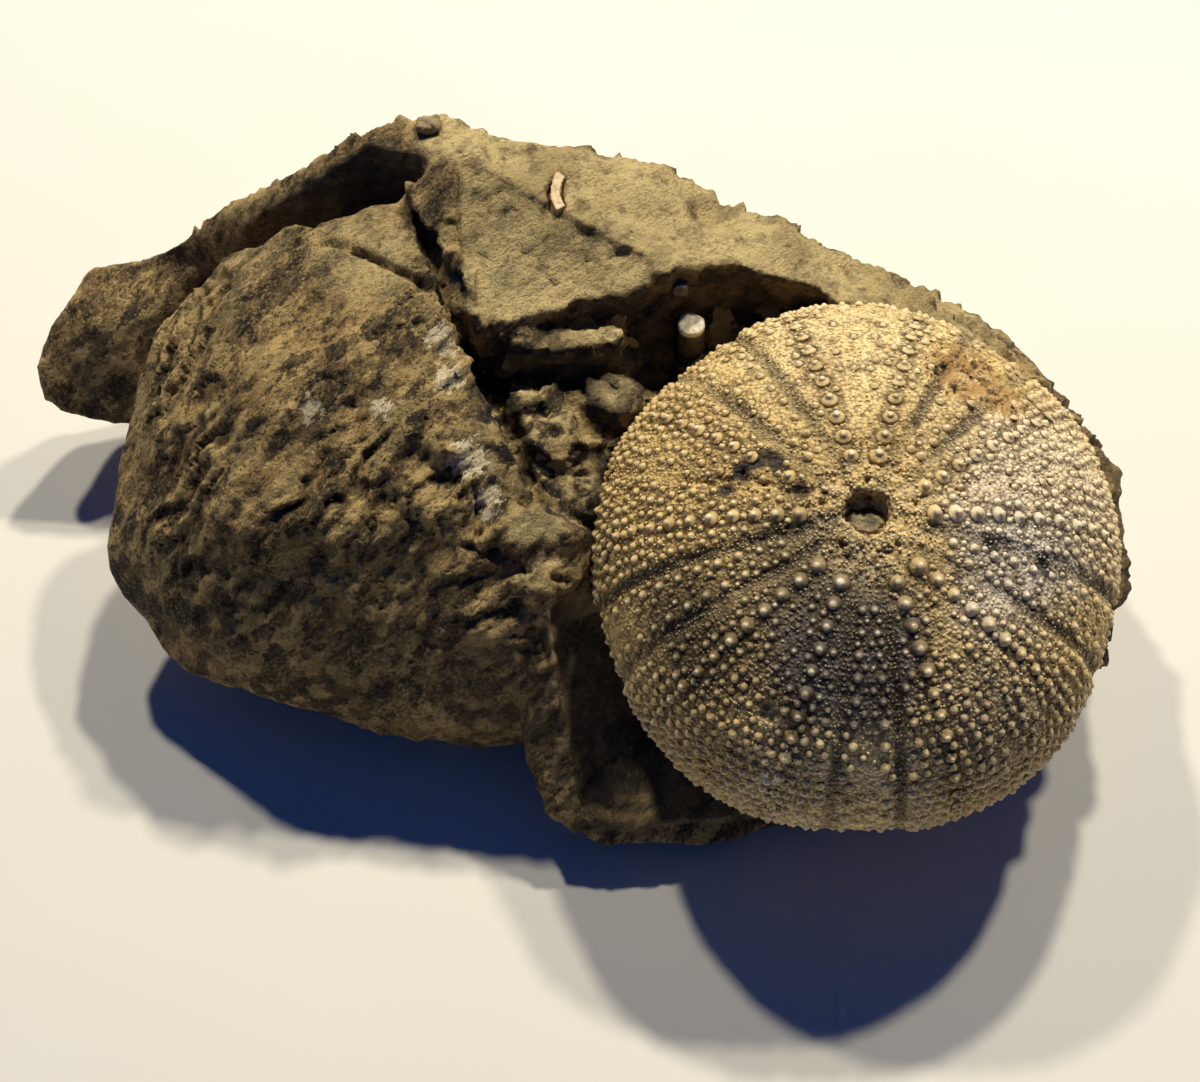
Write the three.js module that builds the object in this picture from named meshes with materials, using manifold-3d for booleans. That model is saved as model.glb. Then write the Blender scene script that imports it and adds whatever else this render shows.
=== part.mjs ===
// Fossil sea urchin on its rock matrix, in millimetres, +Z up, resting on z = 0.
// X runs along the stone, +Y is its high back, and the urchin sits at the front right.

import * as THREE from 'three';
import { ConvexGeometry } from 'three/addons/geometries/ConvexGeometry.js';
import { ConvexHull } from 'three/addons/math/ConvexHull.js';
import { ImprovedNoise } from 'three/addons/math/ImprovedNoise.js';
import { mergeVertices } from 'three/addons/utils/BufferGeometryUtils.js';
import Module from 'manifold-3d';

// ---- driving dimensions ---------------------------------------------------

const TEST_RADIUS = 39.6;             // half the width of the urchin at its widest line
const TEST_LENGTH_RATIO = 1.03;      // a little longer from front to back
const TEST_RISE = 24;                // widest line up to the top
const TEST_DROP = 18;                // widest line down to the underside
const TEST_CENTRE = new THREE.Vector3(38.5, -11.5, 35);
const TEST_TILT_FORWARD = THREE.MathUtils.degToRad(13);
const TEST_TILT_RIGHT = THREE.MathUtils.degToRad(-0.5);
const DOME_POWER = 2.15;             // 2 is an ellipse, more is squarer in the shoulder
const RAY_COUNT = 5;
const RAY_RELIEF = 0.012;            // how far the five sides swell, of the radius
const FIRST_RAY = THREE.MathUtils.degToRad(-90);

const OPENING_RADIUS = 3.3;          // hole at the top of the test
const OPENING_DEPTH = 4;
const PLUG_TOP = 1.6;                // sediment's top below the rim of the hole

const GAP = 0.35;                    // clearance between neighbouring pieces
const TABLE_CUT = 60;                // half width of the block that cuts the base flat

// ---- small helpers --------------------------------------------------------

const manifoldLibrary = await Module();
manifoldLibrary.setup();
const noise = new ImprovedNoise();

function points(list) {
  return list.map(([x, y, z]) => new THREE.Vector3(x, y, z));
}

function weld(geometry) {
  const bare = geometry.clone();
  bare.deleteAttribute('normal');
  bare.deleteAttribute('uv');
  return mergeVertices(bare, 1e-4);
}

function toSolid(geometry) {
  const welded = weld(geometry);
  const mesh = new manifoldLibrary.Mesh({
    numProp: 3,
    vertProperties: new Float32Array(welded.attributes.position.array),
    triVerts: new Uint32Array(welded.index.array),
  });
  return new manifoldLibrary.Manifold(mesh);
}

function toGeometry(solid) {
  const mesh = solid.getMesh();
  const geometry = new THREE.BufferGeometry();
  geometry.setAttribute('position', new THREE.BufferAttribute(new Float32Array(mesh.vertProperties), 3));
  geometry.setIndex(new THREE.BufferAttribute(new Uint32Array(mesh.triVerts), 1));
  geometry.computeVertexNormals();
  return geometry;
}

function middle(corners) {
  const sum = corners.reduce((total, corner) => total.add(corner), new THREE.Vector3());
  return sum.divideScalar(corners.length);
}

// A broken block: the flat-faced hull of its corners.
function block(list) {
  return new ConvexGeometry(points(list));
}

// A worn stone: the hull of its corners with rounded edges and an uneven skin.
function stone(list, { sharpness = 12, detail = 6, unevenness = 0.03, grain = 14, grow = 0 } = {}) {
  const corners = points(list);
  const centre = middle(corners);
  const hull = new ConvexHull().setFromPoints(corners.map((corner) => corner.clone().sub(centre)));
  const geometry = weld(new THREE.IcosahedronGeometry(1, detail));
  const position = geometry.attributes.position;
  const way = new THREE.Vector3();
  for (let i = 0; i < position.count; i += 1) {
    way.fromBufferAttribute(position, i).normalize();
    let sum = 0;
    for (const face of hull.faces) {
      const reach = Math.max(0, way.dot(face.normal)) / (face.constant + grow);
      sum += reach ** sharpness;
    }
    const radius = sum ** (-1 / sharpness);
    const spot = way.clone().multiplyScalar(radius).add(centre).divideScalar(grain);
    const swell = 1 + unevenness * noise.noise(spot.x, spot.y, spot.z);
    way.multiplyScalar(radius * swell).add(centre);
    position.setXYZ(i, way.x, way.y, way.z);
  }
  return geometry;
}

// ---- the sea urchin -------------------------------------------------------

// Outline from the top of the test to its underside, as height against radius.
function testProfile(grow) {
  const steps = 22;
  const outline = [];
  for (let i = 0; i <= steps; i += 1) {
    const angle = Math.PI * (i / steps);
    const across = Math.sin(angle);
    const along = Math.cos(angle);
    const height = (along > 0 ? TEST_RISE : TEST_DROP) + grow;
    const radius = (TEST_RADIUS + grow) * across ** (2 / DOME_POWER);
    const lift = Math.sign(along) * height * Math.abs(along) ** (2 / DOME_POWER);
    const onAxis = i === 0 || i === steps;
    outline.push(new THREE.Vector2(onAxis ? 0 : radius, -lift));
  }
  return outline;
}

function testPlace(geometry) {
  geometry.rotateX(TEST_TILT_FORWARD);
  geometry.rotateY(TEST_TILT_RIGHT);
  geometry.translate(TEST_CENTRE.x, TEST_CENTRE.y, TEST_CENTRE.z);
  return geometry;
}

function testShape(grow) {
  const geometry = weld(new THREE.LatheGeometry(testProfile(grow), 50));
  geometry.rotateX(-Math.PI / 2);
  const position = geometry.attributes.position;
  for (let i = 0; i < position.count; i += 1) {
    const x = position.getX(i);
    const y = position.getY(i);
    const turn = Math.atan2(y, x) - FIRST_RAY;
    const swell = 1 - RAY_RELIEF * Math.cos(RAY_COUNT * turn);
    position.setX(i, x * swell);
    position.setY(i, y * swell * TEST_LENGTH_RATIO);
  }
  return testPlace(geometry);
}

function openingCutter() {
  const height = OPENING_DEPTH + 4;
  const cutter = new THREE.CylinderGeometry(OPENING_RADIUS, OPENING_RADIUS * 0.85, height, 10);
  cutter.rotateX(Math.PI / 2);
  cutter.translate(0, 0, TEST_RISE - OPENING_DEPTH + height / 2);
  return testPlace(cutter);
}

const testSolid = toSolid(testShape(0)).subtract(toSolid(openingCutter()));

// Sediment in the opening, a low heap with a clear gap all round.
function sedimentPlug() {
  const height = OPENING_DEPTH - PLUG_TOP - GAP;
  const radius = OPENING_RADIUS * 0.85 - GAP;
  const heap = new THREE.CylinderGeometry(radius * 0.6, radius, height, 10);
  heap.rotateX(Math.PI / 2);
  heap.translate(0, 0, TEST_RISE - OPENING_DEPTH + GAP + height / 2);
  return testPlace(heap);
}

// ---- the rock matrix ------------------------------------------------------

// Big rough boulder on the left.
const lobe = stone([
  [-62, 37, 46], [-49, 40, 54.5], [-39, 41, 60], [-33, 42, 61.5], [-27, 38, 61], [-20, 20, 57],
  [-72, 29, 41], [-76, 16, 34], [-79, -1, 24], [-76, -9, 18], [-69, -17, 13],
  [-15, 9, 52], [-11, -3, 46], [-8, -15, 37], [-8, -27, 26],
  [-52, 12, 55], [-30, 14, 58], [-54, -6, 45], [-26, -4, 49],
  [-57, -16, 32], [-25, -18, 36], [-55, -24, 18], [-27, -28, 19],
  [-42, -23, 8], [-31, -28, 7], [-9, -31, 8],
  [-52, -10, 0], [-16, -16, 0], [-58, 22, 0], [-20, 30, 0],
], { sharpness: 45, detail: 9, unevenness: 0.05, grain: 15 });

// Thin high wall behind the lobe.
const rim = block([
  [-72, 46, 35], [-54, 47, 50], [-40, 47, 61], [-35, 48, 66], [-28, 48, 67.5],
  [-60, 43, 41], [-50, 43, 51], [-35, 45, 65], [-26, 43, 66],
  [-71, 41, 22], [-66, 46, 20], [-30, 52, 22], [-60, 36, 20], [-26, 36, 24], [-22, 46, 20],
]);

// Small knob at the far left.
const knob = stone([
  [-83, 46, 33], [-70, 48, 35], [-90, 36, 28], [-92, 32, 24], [-92, 29, 20],
  [-86, 27, 16], [-77, 25, 16], [-85, 37, 31], [-72, 36, 33],
  [-84, 42, 14], [-74, 36, 10], [-60, 46, 38], [-60, 34, 22], [-60, 46, 12],
], { sharpness: 30, detail: 5, unevenness: 0.08, grain: 9 });

// Ridge with the triangular broken face, its top falling away to the right.
const ridge = block([
  [-26, 48, 67.5], [-34, 48, 66.5], [-24, 42, 67], [-21.5, 38.5, 66.3], [-20, 19, 58],
  [6, 26, 59], [14, 27, 57], [-20, 49, 65], [-9, 46, 62], [11, 46, 56], [18, 42, 54],
  [-28, 38, 56], [-26, 29, 50], [-17, 18, 44], [12, 27, 44],
  [-28, 52, 24], [14, 50, 24], [-24, 20, 14], [14, 20, 14],
]);

// Lower shoulder of rock behind and to the right of the urchin.
const shoulder = block([
  [13, 27, 57], [24, 30, 53.5], [33, 30, 50.8], [45, 27.5, 47.4],
  [11, 46, 56], [18, 42, 54], [25, 38, 52], [35, 38, 49], [44, 33, 47],
  [51, 32, 43], [62, 25, 40], [70, 17, 37], [79, 8, 34], [80, -7, 29],
  [78, -13, 26], [75, -24, 18], [68, -31, 12],
  [10, 48, 20], [44, 37, 16], [68, 20, 14], [72, 4, 8], [70, -16, 6], [54, -28, 3],
  [10, 10, 4], [40, 30, 4], [54, 10, 2], [50, -16, 2],
]);

// Stone under the urchin, from the hollow on its left to the front plate.
const pedestal = block([
  [-16, 14, 44.5], [6, 14, 43.5], [-17, -8, 39.5], [-3, -8, 38.5], [-10, -18, 35],
  [-10, -22, 31], [-11, -26, 26], [-11, -35, 15], [-8, -41, 10], [1, -44, 6],
  [17, -44, 5], [28, -40, 7], [52, -34, 10], [60, -28, 10],
  [4, -30, -2], [26, -32, -2], [48, -24, -2], [-10, -24, -1], [-16, 10, -2], [40, 30, -2],
  [40, 24, 30],
]);

// Worn body of the stone that everything else is part of: its back and underside.
const body = stone([
  [-68, 43, 26], [-62, 50, 18], [-40, 56, 26], [-12, 56, 32], [14, 52, 32], [42, 42, 28], [62, 28, 24],
  [-50, 36, 38], [-28, 38, 46], [-4, 40, 48], [20, 34, 42], [40, 24, 30], [60, 8, 22],
  [-64, 34, 8], [-60, 46, 8], [-40, 52, 2], [-10, 54, 2], [18, 50, 2], [44, 38, 2], [64, 22, 4],
  [-54, 16, -2], [-50, -8, -1], [-20, -16, -2], [10, -28, -2], [44, -22, -2], [62, 4, -2],
  [-50, 38, -2], [30, 38, -2], [68, -10, 10], [56, -26, 4],
], { sharpness: 30, detail: 8, unevenness: 0.05, grain: 17 });

// Step of rock under the triangular face.
const step = block([
  [-14.5, 21.5, 52], [0, 22.5, 51], [6, 23, 49.5], [-15, 17, 49], [-2, 18.5, 48.5], [5, 20, 47],
  [-16, 15, 42], [4, 16, 40], [-14, 26, 40], [10, 28, 40],
]);

// Broken lumps in the hollow, going down towards the front.
const lumps = [
  [[-14, 12, 48], [-7, 14, 47.5], [-5, 9, 45], [-12, 7, 45.5], [-15, 12, 40], [-4, 15, 40], [-8, 4, 40]],
  [[-5, 13, 46.8], [1, 14, 46.5], [0, 9, 44], [-4, 8, 44], [-6, 14, 40], [3, 15, 40], [-1, 3, 39]],
  [[-12, 5, 46], [-5, 6.5, 44.5], [-4, 2, 42], [-10, 0, 43], [-13, 6, 38], [-3, 8, 38], [-8, -4, 38]],
  [[-4, 6, 44], [0, 6, 43.5], [-1, 2, 41], [-3, 1, 41], [-5, 7, 37], [2, 6, 37], [-3, -2, 36]],
  [[-9, -1, 43.5], [-3.5, 0, 42], [-3, -4, 39.5], [-8, -5, 41], [-10, 0, 36], [-2, 1, 36], [-6, -8, 36]],
].map(block);

// Ledges, one beside the urchin and two above the front plate.
const sideLedge = block([
  [-2, 13.5, 47], [7, 14, 46.5], [6, 10.5, 44.5], [-2, 10, 44], [-4, 13, 38], [8, 14, 38], [3, 4, 36],
]);
const upperLedge = block([
  [-17, -11, 43.5], [-10.5, -6.5, 45], [-2, -9.5, 42], [-15, -13.5, 41], [-4, -12, 38.5],
  [-16, -3, 36], [-4, -3, 36],
]);
const lowerLedge = block([
  [-13, -15, 38.5], [-4.5, -13.5, 38], [-12, -18, 36], [-5, -16, 35], [-12, -10, 32], [-5, -8, 32],
]);

// Narrow dark gap between the lobe and the wall behind it.
const backGap = block([
  [-61, 43.5, 47], [-50, 43.5, 53], [-35, 45.5, 72], [-26, 42, 72],
  [-58, 38, 52], [-48, 41.5, 57], [-33, 42.5, 63], [-27, 39, 64],
  [-56, 41, 38], [-32, 43, 44], [-27, 40, 50],
]);

// Deep crack that runs down the right side of the lobe.
const crack = block([
  [-29, 38, 62], [-25.5, 37, 62], [-24, 20, 61], [-20.5, 18, 60], [-16.5, 15, 56],
  [-27, 30, 50], [-23, 28, 44], [-17, 12, 42],
  [-12, -2, 48], [-10.5, 0, 48], [-11, -2, 42],
]);

// Undercut below the edge of the top, behind the urchin.
const undercut = block([
  [7, 25, 58], [14, 27, 57.5], [26, 29, 54], [36, 28, 51], [8, 24, 52],
  [14, 28.5, 50], [26, 30.5, 48], [36, 28.5, 46],
  [6, 19, 43], [8, 24, 43], [26, 30, 42], [36, 24, 42], [20, 15, 40], [9, 15, 44],
]);

// Shell-shaped broken face at the front, under the urchin.
const scoop = stone([
  [-8.5, -13, 41], [-8.5, -21, 33], [-8, -29, 25.5], [-7, -33, 20], [-5, -37, 14.5], [-1, -41, 10.5],
  [12, -44, 10], [24, -43, 12], [40, -40, 18], [20, -54, 40], [-8, -34, 46],
  [2, -18, 23], [6, -28, 13], [18, -32, 10], [36, -30, 12], [30, 0, 40],
], { sharpness: 45, detail: 5, unevenness: 0.03, grain: 8 });

const rockSolid = [body, rim, knob, ridge, shoulder, pedestal].reduce(
  (whole, piece) => whole.add(toSolid(piece)),
  toSolid(lobe),
);
const carvedSolid = [backGap, crack, undercut, scoop].reduce(
  (whole, piece) => whole.subtract(toSolid(piece)),
  rockSolid,
);
const steppedSolid = [step, ...lumps, sideLedge, upperLedge, lowerLedge].reduce(
  (whole, piece) => whole.add(toSolid(piece)),
  carvedSolid,
);

// ---- small things held in the rock ----------------------------------------

const STUB_RADIUS = 2;
const STUB_TOP = new THREE.Vector3(14, 24, 48);
const STUB_LENGTH = 12;

function spineStub(grow) {
  const radius = STUB_RADIUS + grow;
  const stub = new THREE.CylinderGeometry(radius * 0.93, radius, STUB_LENGTH + 2 * grow, 16);
  stub.rotateX(Math.PI / 2);
  stub.translate(STUB_TOP.x, STUB_TOP.y, STUB_TOP.z - STUB_LENGTH / 2);
  return stub;
}

const SLIVER_ARC_RADIUS = 6;
const SLIVER_WIDTH = 1.5;
const SLIVER_HEIGHT = 2.4;
const SLIVER_HALF_ANGLE = THREE.MathUtils.degToRad(32);
const SLIVER_PLACE = new THREE.Vector3(-0.8, 38.4, 61.4);

function shellSliver(grow) {
  const outer = SLIVER_ARC_RADIUS + SLIVER_WIDTH / 2 + grow;
  const inner = SLIVER_ARC_RADIUS - SLIVER_WIDTH / 2 - grow;
  const half = SLIVER_HALF_ANGLE + grow / SLIVER_ARC_RADIUS;
  const outline = new THREE.Shape();
  outline.absarc(0, 0, outer, Math.PI - half, Math.PI + half, false);
  outline.absarc(0, 0, inner, Math.PI + half, Math.PI - half, true);
  outline.closePath();
  const depth = SLIVER_HEIGHT + 2 * grow;
  const sliver = new THREE.ExtrudeGeometry(outline, { depth, bevelEnabled: false, curveSegments: 8 });
  sliver.translate(0, 0, -depth / 2);
  sliver.translate(SLIVER_PLACE.x, SLIVER_PLACE.y, SLIVER_PLACE.z);
  return sliver;
}

function smallStone(centre, halfSize, grow) {
  const signs = [-1, 1];
  const corners = signs.flatMap((sx) => signs.flatMap((sy) => signs.map((sz) => [
    centre[0] + sx * halfSize[0],
    centre[1] + sy * halfSize[1],
    centre[2] + sz * halfSize[2],
  ])));
  return stone(corners, { sharpness: 5, detail: 2, unevenness: 0.12, grain: 1.6, grow });
}

function greyClast(grow) {
  return smallStone([12.2, 27.2, 53.2], [1.4, 1.3, 1.5], grow);
}

function crestPebble(grow) {
  return smallStone([-26, 47, 67.6], [2.1, 1.6, 1.2], grow);
}

// ---- the finished solids --------------------------------------------------

const tableCutter = new THREE.BoxGeometry(4 * TABLE_CUT, 4 * TABLE_CUT, TABLE_CUT);
tableCutter.translate(0, 0, -TABLE_CUT / 2);

const pockets = [
  testShape(GAP),
  spineStub(GAP),
  shellSliver(GAP),
  greyClast(GAP),
  crestPebble(GAP),
  tableCutter,
];
const matrixSolid = pockets.reduce((whole, piece) => whole.subtract(toSolid(piece)), steppedSolid);

function material(color, roughness) {
  return new THREE.MeshStandardMaterial({ color, roughness, metalness: 0 });
}

const group = new THREE.Group();

function add(name, geometry, look) {
  const mesh = new THREE.Mesh(geometry, look);
  mesh.name = name;
  group.add(mesh);
}

add('matrix_rock', toGeometry(matrixSolid), material(0x5b4a33, 0.9));
add('urchin_test', toGeometry(testSolid), material(0x9a8459, 0.7));
add('sediment_plug', sedimentPlug(), material(0x8d7a55, 0.95));
add('spine_stub', spineStub(0), material(0xd9c79a, 0.6));
add('shell_sliver', shellSliver(0), material(0xd8c497, 0.6));
add('grey_clast', greyClast(0), material(0x77705f, 0.85));
add('crest_pebble', crestPebble(0), material(0x6a583c, 0.85));

// The frame's origin is under the middle of the whole specimen, on the surface it rests on.
const extent = new THREE.Box3().setFromObject(group);
const extentMiddle = extent.getCenter(new THREE.Vector3());
group.position.set(-extentMiddle.x, -extentMiddle.y, 0);

export default group;
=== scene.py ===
import math
import random

import bpy
from mathutils import Euler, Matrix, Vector
from mathutils.bvhtree import BVHTree


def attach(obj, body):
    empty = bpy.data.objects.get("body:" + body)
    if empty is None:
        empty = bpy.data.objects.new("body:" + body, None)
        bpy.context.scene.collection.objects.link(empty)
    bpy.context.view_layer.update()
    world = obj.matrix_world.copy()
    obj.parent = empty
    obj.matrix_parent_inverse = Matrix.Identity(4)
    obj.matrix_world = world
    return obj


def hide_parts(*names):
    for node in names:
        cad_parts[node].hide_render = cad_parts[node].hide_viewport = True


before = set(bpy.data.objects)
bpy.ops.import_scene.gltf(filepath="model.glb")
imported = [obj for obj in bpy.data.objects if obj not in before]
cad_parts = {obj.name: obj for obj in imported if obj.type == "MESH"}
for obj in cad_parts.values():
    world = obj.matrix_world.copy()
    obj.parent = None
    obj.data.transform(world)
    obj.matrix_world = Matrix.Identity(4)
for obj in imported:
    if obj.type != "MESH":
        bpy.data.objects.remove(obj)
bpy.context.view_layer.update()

bl_info = {
    "name": "Fossil Sea Urchin",
    "version": (1, 0, 0),
    "blender": (4, 5, 0),
    "location": "3D View > Sidebar > Fossil",
    "description": "Builds a fossil sea urchin on its lump of mudstone",
    "category": "Add Mesh",
}

MM = 0.001
ROOT = "root"

# The test: the same oval dome as the CAD node, set on its tilted axis. Lengths from here on are in
# millimetres unless they are multiplied by MM.
TEST_CENTRE = Vector((44.29, -13.38, 35.0)) * MM
TEST_TURN = Euler((math.radians(13.0), math.radians(-0.5), 0.0))
DOME_POWER = 2.15
RAYS = 5
RAY_STEP = 2 * math.pi / RAYS
FIRST_RAY = -math.pi / 2
RAY_RELIEF = 0.012
LENGTH_RATIO = 1.03
TEST_RADIUS = 39.6
TEST_RISE = 24.0
TEST_DROP = 18.0
DISC_RADIUS = 8.6
DISC_GRAINS = 260
PORE_BAND = 1.7
# Half the width of a ray: at the axis, how much it gains by the edge, and how fast.
RAY_START = 0.9
RAY_SPREAD = 5.4
RAY_CURVE = 0.8
# How far the worn opening lies from the dome's own top, in millimetres.
OPENING_SHIFT = (0.2, 1.4, 0.3)

# The most triangles that the finished lump of stone has.
ROCK_TRIANGLES = 196000


# ---- working by hand in Blender ---------------------------------------------

def object_mode():
    if bpy.context.object and bpy.context.object.mode != "OBJECT":
        bpy.ops.object.mode_set(mode="OBJECT")


def pick(thing):
    """Makes one object the only selected and active one."""
    object_mode()
    bpy.ops.object.select_all(action="DESELECT")
    thing.select_set(True)
    bpy.context.view_layer.objects.active = thing
    return thing


def apply_all(thing):
    """Applies every modifier of an object, in order."""
    pick(thing)
    for modifier in list(thing.modifiers):
        bpy.ops.object.modifier_apply(modifier=modifier.name)
    return thing


def put_in_scene(name, data):
    thing = bpy.data.objects.new(name, data)
    bpy.context.scene.collection.objects.link(thing)
    return thing


def start_from(node, name):
    """A new object that starts as a merged copy of a CAD node's mesh."""
    thing = put_in_scene(name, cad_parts[node].data.copy())
    thing.data.materials.clear()
    pick(thing)
    bpy.ops.object.mode_set(mode="EDIT")
    bpy.ops.mesh.select_all(action="SELECT")
    bpy.ops.mesh.remove_doubles(threshold=0.01 * MM)
    bpy.ops.mesh.normals_make_consistent(inside=False)
    bpy.ops.object.mode_set(mode="OBJECT")
    return thing


def remesh(thing, size, smooth_steps):
    """Turns an object into an even skin of small squares, then eases it."""
    skin = thing.modifiers.new("skin", "REMESH")
    skin.mode = "VOXEL"
    skin.voxel_size = size
    ease = thing.modifiers.new("ease", "SMOOTH")
    ease.factor = 0.5
    ease.iterations = smooth_steps
    return apply_all(thing)


def work(thing, tree):
    """Runs a geometry node tree over an object and keeps the result."""
    thing.modifiers.new("work", "NODES").node_group = tree
    return apply_all(thing)


def discard(thing):
    bpy.data.objects.remove(thing)


def hand_in(piece, material, slot, *nodes):
    """Finishes a piece: smooth shading, its material and its body, and hides the CAD parts that it stands
    for.
    """
    pick(piece)
    bpy.ops.object.shade_smooth()
    piece.data.materials.clear()
    piece.data.materials.append(material)
    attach(piece, ROOT)
    if nodes:
        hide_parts(*nodes)
    return piece


def line_mesh(name, lines):
    """A wire of open lines through points in millimetres."""
    points = []
    edges = []
    for line in lines:
        first = len(points)
        points.extend(Vector(point) * MM for point in line)
        edges.extend((first + i, first + i + 1) for i in range(len(line) - 1))
    mesh = bpy.data.meshes.new(name)
    mesh.from_pydata(points, edges, [])
    return put_in_scene(name, mesh)


# ---- node trees -------------------------------------------------------------

class Tree:
    """A node tree being wired. Each method adds a node and returns what it puts out."""

    def __init__(self, tree):
        self.tree = tree

    def add(self, kind, inputs=None, **settings):
        made = self.tree.nodes.new(kind)
        for name, value in settings.items():
            setattr(made, name, value)
        for key, value in (inputs or {}).items():
            if isinstance(value, bpy.types.NodeSocket):
                self.tree.links.new(value, made.inputs[key])
            else:
                made.inputs[key].default_value = value
        return made

    def math(self, operation, *values):
        return self.add("ShaderNodeMath", dict(enumerate(values)), operation=operation).outputs[0]

    def fold(self, operation, values):
        """Runs one operation over values from left to right."""
        result = values[0]
        for value in values[1:]:
            result = self.math(operation, result, value)
        return result

    def total(self, *values):
        return self.fold("ADD", values)

    def times(self, *values):
        return self.fold("MULTIPLY", values)

    def most(self, *values):
        return self.fold("MAXIMUM", values)

    def rest(self, value):
        """What a share leaves of 1."""
        return self.math("SUBTRACT", 1.0, value)

    def read(self, name):
        """A value that the geometry trees stored on each point."""
        return self.add("ShaderNodeAttribute", attribute_name=name).outputs["Fac"]

    def parts(self, vector):
        """The X, Y and Z of a vector."""
        made = self.add("ShaderNodeSeparateXYZ", {0: vector})
        return made.outputs["X"], made.outputs["Y"], made.outputs["Z"]

    def vector(self, operation, *values):
        made = self.add("ShaderNodeVectorMath", dict(enumerate(values)), operation=operation)
        single = operation in {"LENGTH", "DISTANCE", "DOT_PRODUCT"}
        return made.outputs["Value" if single else "Vector"]

    def scale(self, vector, amount):
        made = self.add("ShaderNodeVectorMath", {0: vector, "Scale": amount}, operation="SCALE")
        return made.outputs["Vector"]

    def span(self, value, low, high, to_low=0.0, to_high=1.0):
        inputs = {"Value": value, "From Min": low, "From Max": high, "To Min": to_low, "To Max": to_high}
        return self.add("ShaderNodeMapRange", inputs, interpolation_type="SMOOTHSTEP").outputs["Result"]

    def mix(self, factor, first, second):
        return self.add("ShaderNodeMix", {0: factor, 2: first, 3: second}, data_type="FLOAT").outputs[0]

    def tint(self, factor, first, second, blend="MIX"):
        inputs = {0: factor, 6: first, 7: second}
        return self.add("ShaderNodeMix", inputs, data_type="RGBA", blend_type=blend).outputs[2]

    def paint(self, color, *layers):
        """Lays colours over a first one, each through its own mask."""
        for mask, layer in layers:
            color = self.tint(mask, color, layer)
        return color

    def noise(self, vector, scale, detail=2.0, roughness=0.5, distortion=0.0):
        inputs = {"Vector": vector, "Scale": scale, "Detail": detail, "Roughness": roughness,
                  "Distortion": distortion}
        return self.add("ShaderNodeTexNoise", inputs)

    def stray(self, vector, reach, *noise):
        """A shift of up to half of reach each way that changes from place to place."""
        drift = self.noise(vector, *noise).outputs[1]
        return self.scale(self.vector("SUBTRACT", drift, (0.5, 0.5, 0.5)), reach)

    def cells(self, vector, scale):
        return self.add("ShaderNodeTexVoronoi", {"Vector": vector, "Scale": scale})

    def near(self, position, centre, inner, outer):
        """1 within inner of a point, falling to 0 at outer."""
        away = self.vector("DISTANCE", position, centre)
        return self.span(away, inner, outer, 1.0, 0.0)

    def chips(self, position, size, slope):
        """Height of a surface broken into tilted flat chips."""
        cell = self.cells(position, 1.0 / size)
        tilt = self.scale(self.vector("SUBTRACT", cell.outputs["Color"], (0.5, 0.5, 0.5)), 2.0 * slope)
        return self.vector("DOT_PRODUCT", tilt, self.vector("SUBTRACT", position, cell.outputs["Position"]))

    def rough(self, position, size, height, detail=3.0, roughness=0.55):
        """Height of plain uneven noise, as much up as down."""
        fac = self.noise(position, 1.0 / size, detail, roughness).outputs[0]
        return self.math("MULTIPLY", self.math("SUBTRACT", fac, 0.5), 2.0 * height)


# How the slanting ridges of the lobe run: along them, across them and out of their layers.
RIDGE_ALONG = (0.68, 0.62, 0.38)
RIDGE_ACROSS = (0.70, -0.71, -0.05)
RIDGE_UP = (0.24, 0.30, -0.92)


def along_ridges(wired, place, stretch):
    """Place drawn out along the slanting ridges of the lobe, so that patterns run that way."""
    inputs = {0: wired.math("DIVIDE", wired.vector("DOT_PRODUCT", place, RIDGE_ALONG), stretch),
              1: wired.vector("DOT_PRODUCT", place, RIDGE_ACROSS),
              2: wired.vector("DOT_PRODUCT", place, RIDGE_UP)}
    return wired.add("ShaderNodeCombineXYZ", inputs).outputs[0]


def geometry_tree(name):
    tree = bpy.data.node_groups.new(name, "GeometryNodeTree")
    tree.interface.new_socket("Geometry", in_out="INPUT", socket_type="NodeSocketGeometry")
    tree.interface.new_socket("Geometry", in_out="OUTPUT", socket_type="NodeSocketGeometry")
    wired = Tree(tree)
    start = wired.add("NodeGroupInput")
    end = wired.add("NodeGroupOutput")
    return wired, start.outputs[0], end.inputs[0]


def distance_to(wired, thing, kind="EDGES"):
    """Distance in millimetres from each point to another object's lines or points."""
    target = wired.add("GeometryNodeObjectInfo", {"Object": thing}).outputs["Geometry"]
    proximity = wired.add("GeometryNodeProximity", {0: target}, target_element=kind)
    return wired.math("DIVIDE", proximity.outputs["Distance"], MM)


def keep(wired, geometry, name, value):
    """Stores a value on each point, for the material to read."""
    inputs = {"Geometry": geometry, "Name": name, "Value": value}
    made = wired.add("GeometryNodeStoreNamedAttribute", inputs, data_type="FLOAT", domain="POINT")
    return made.outputs["Geometry"]


def push_out(wired, geometry, height, normal=None):
    """Moves each point along its normal by a height in millimetres, never below the surface it rests on."""
    normal = normal or wired.add("GeometryNodeInputNormal").outputs[0]
    place = wired.add("GeometryNodeInputPosition").outputs[0]
    moved = wired.vector("ADD", place, wired.scale(normal, wired.times(height, MM)))
    across, back, high = wired.parts(moved)
    level = wired.add("ShaderNodeCombineXYZ", {0: across, 1: back, 2: wired.most(high, 0.0)}).outputs[0]
    return wired.add("GeometryNodeSetPosition", {"Geometry": geometry, "Position": level}).outputs[0]


# ---- materials --------------------------------------------------------------

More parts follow.
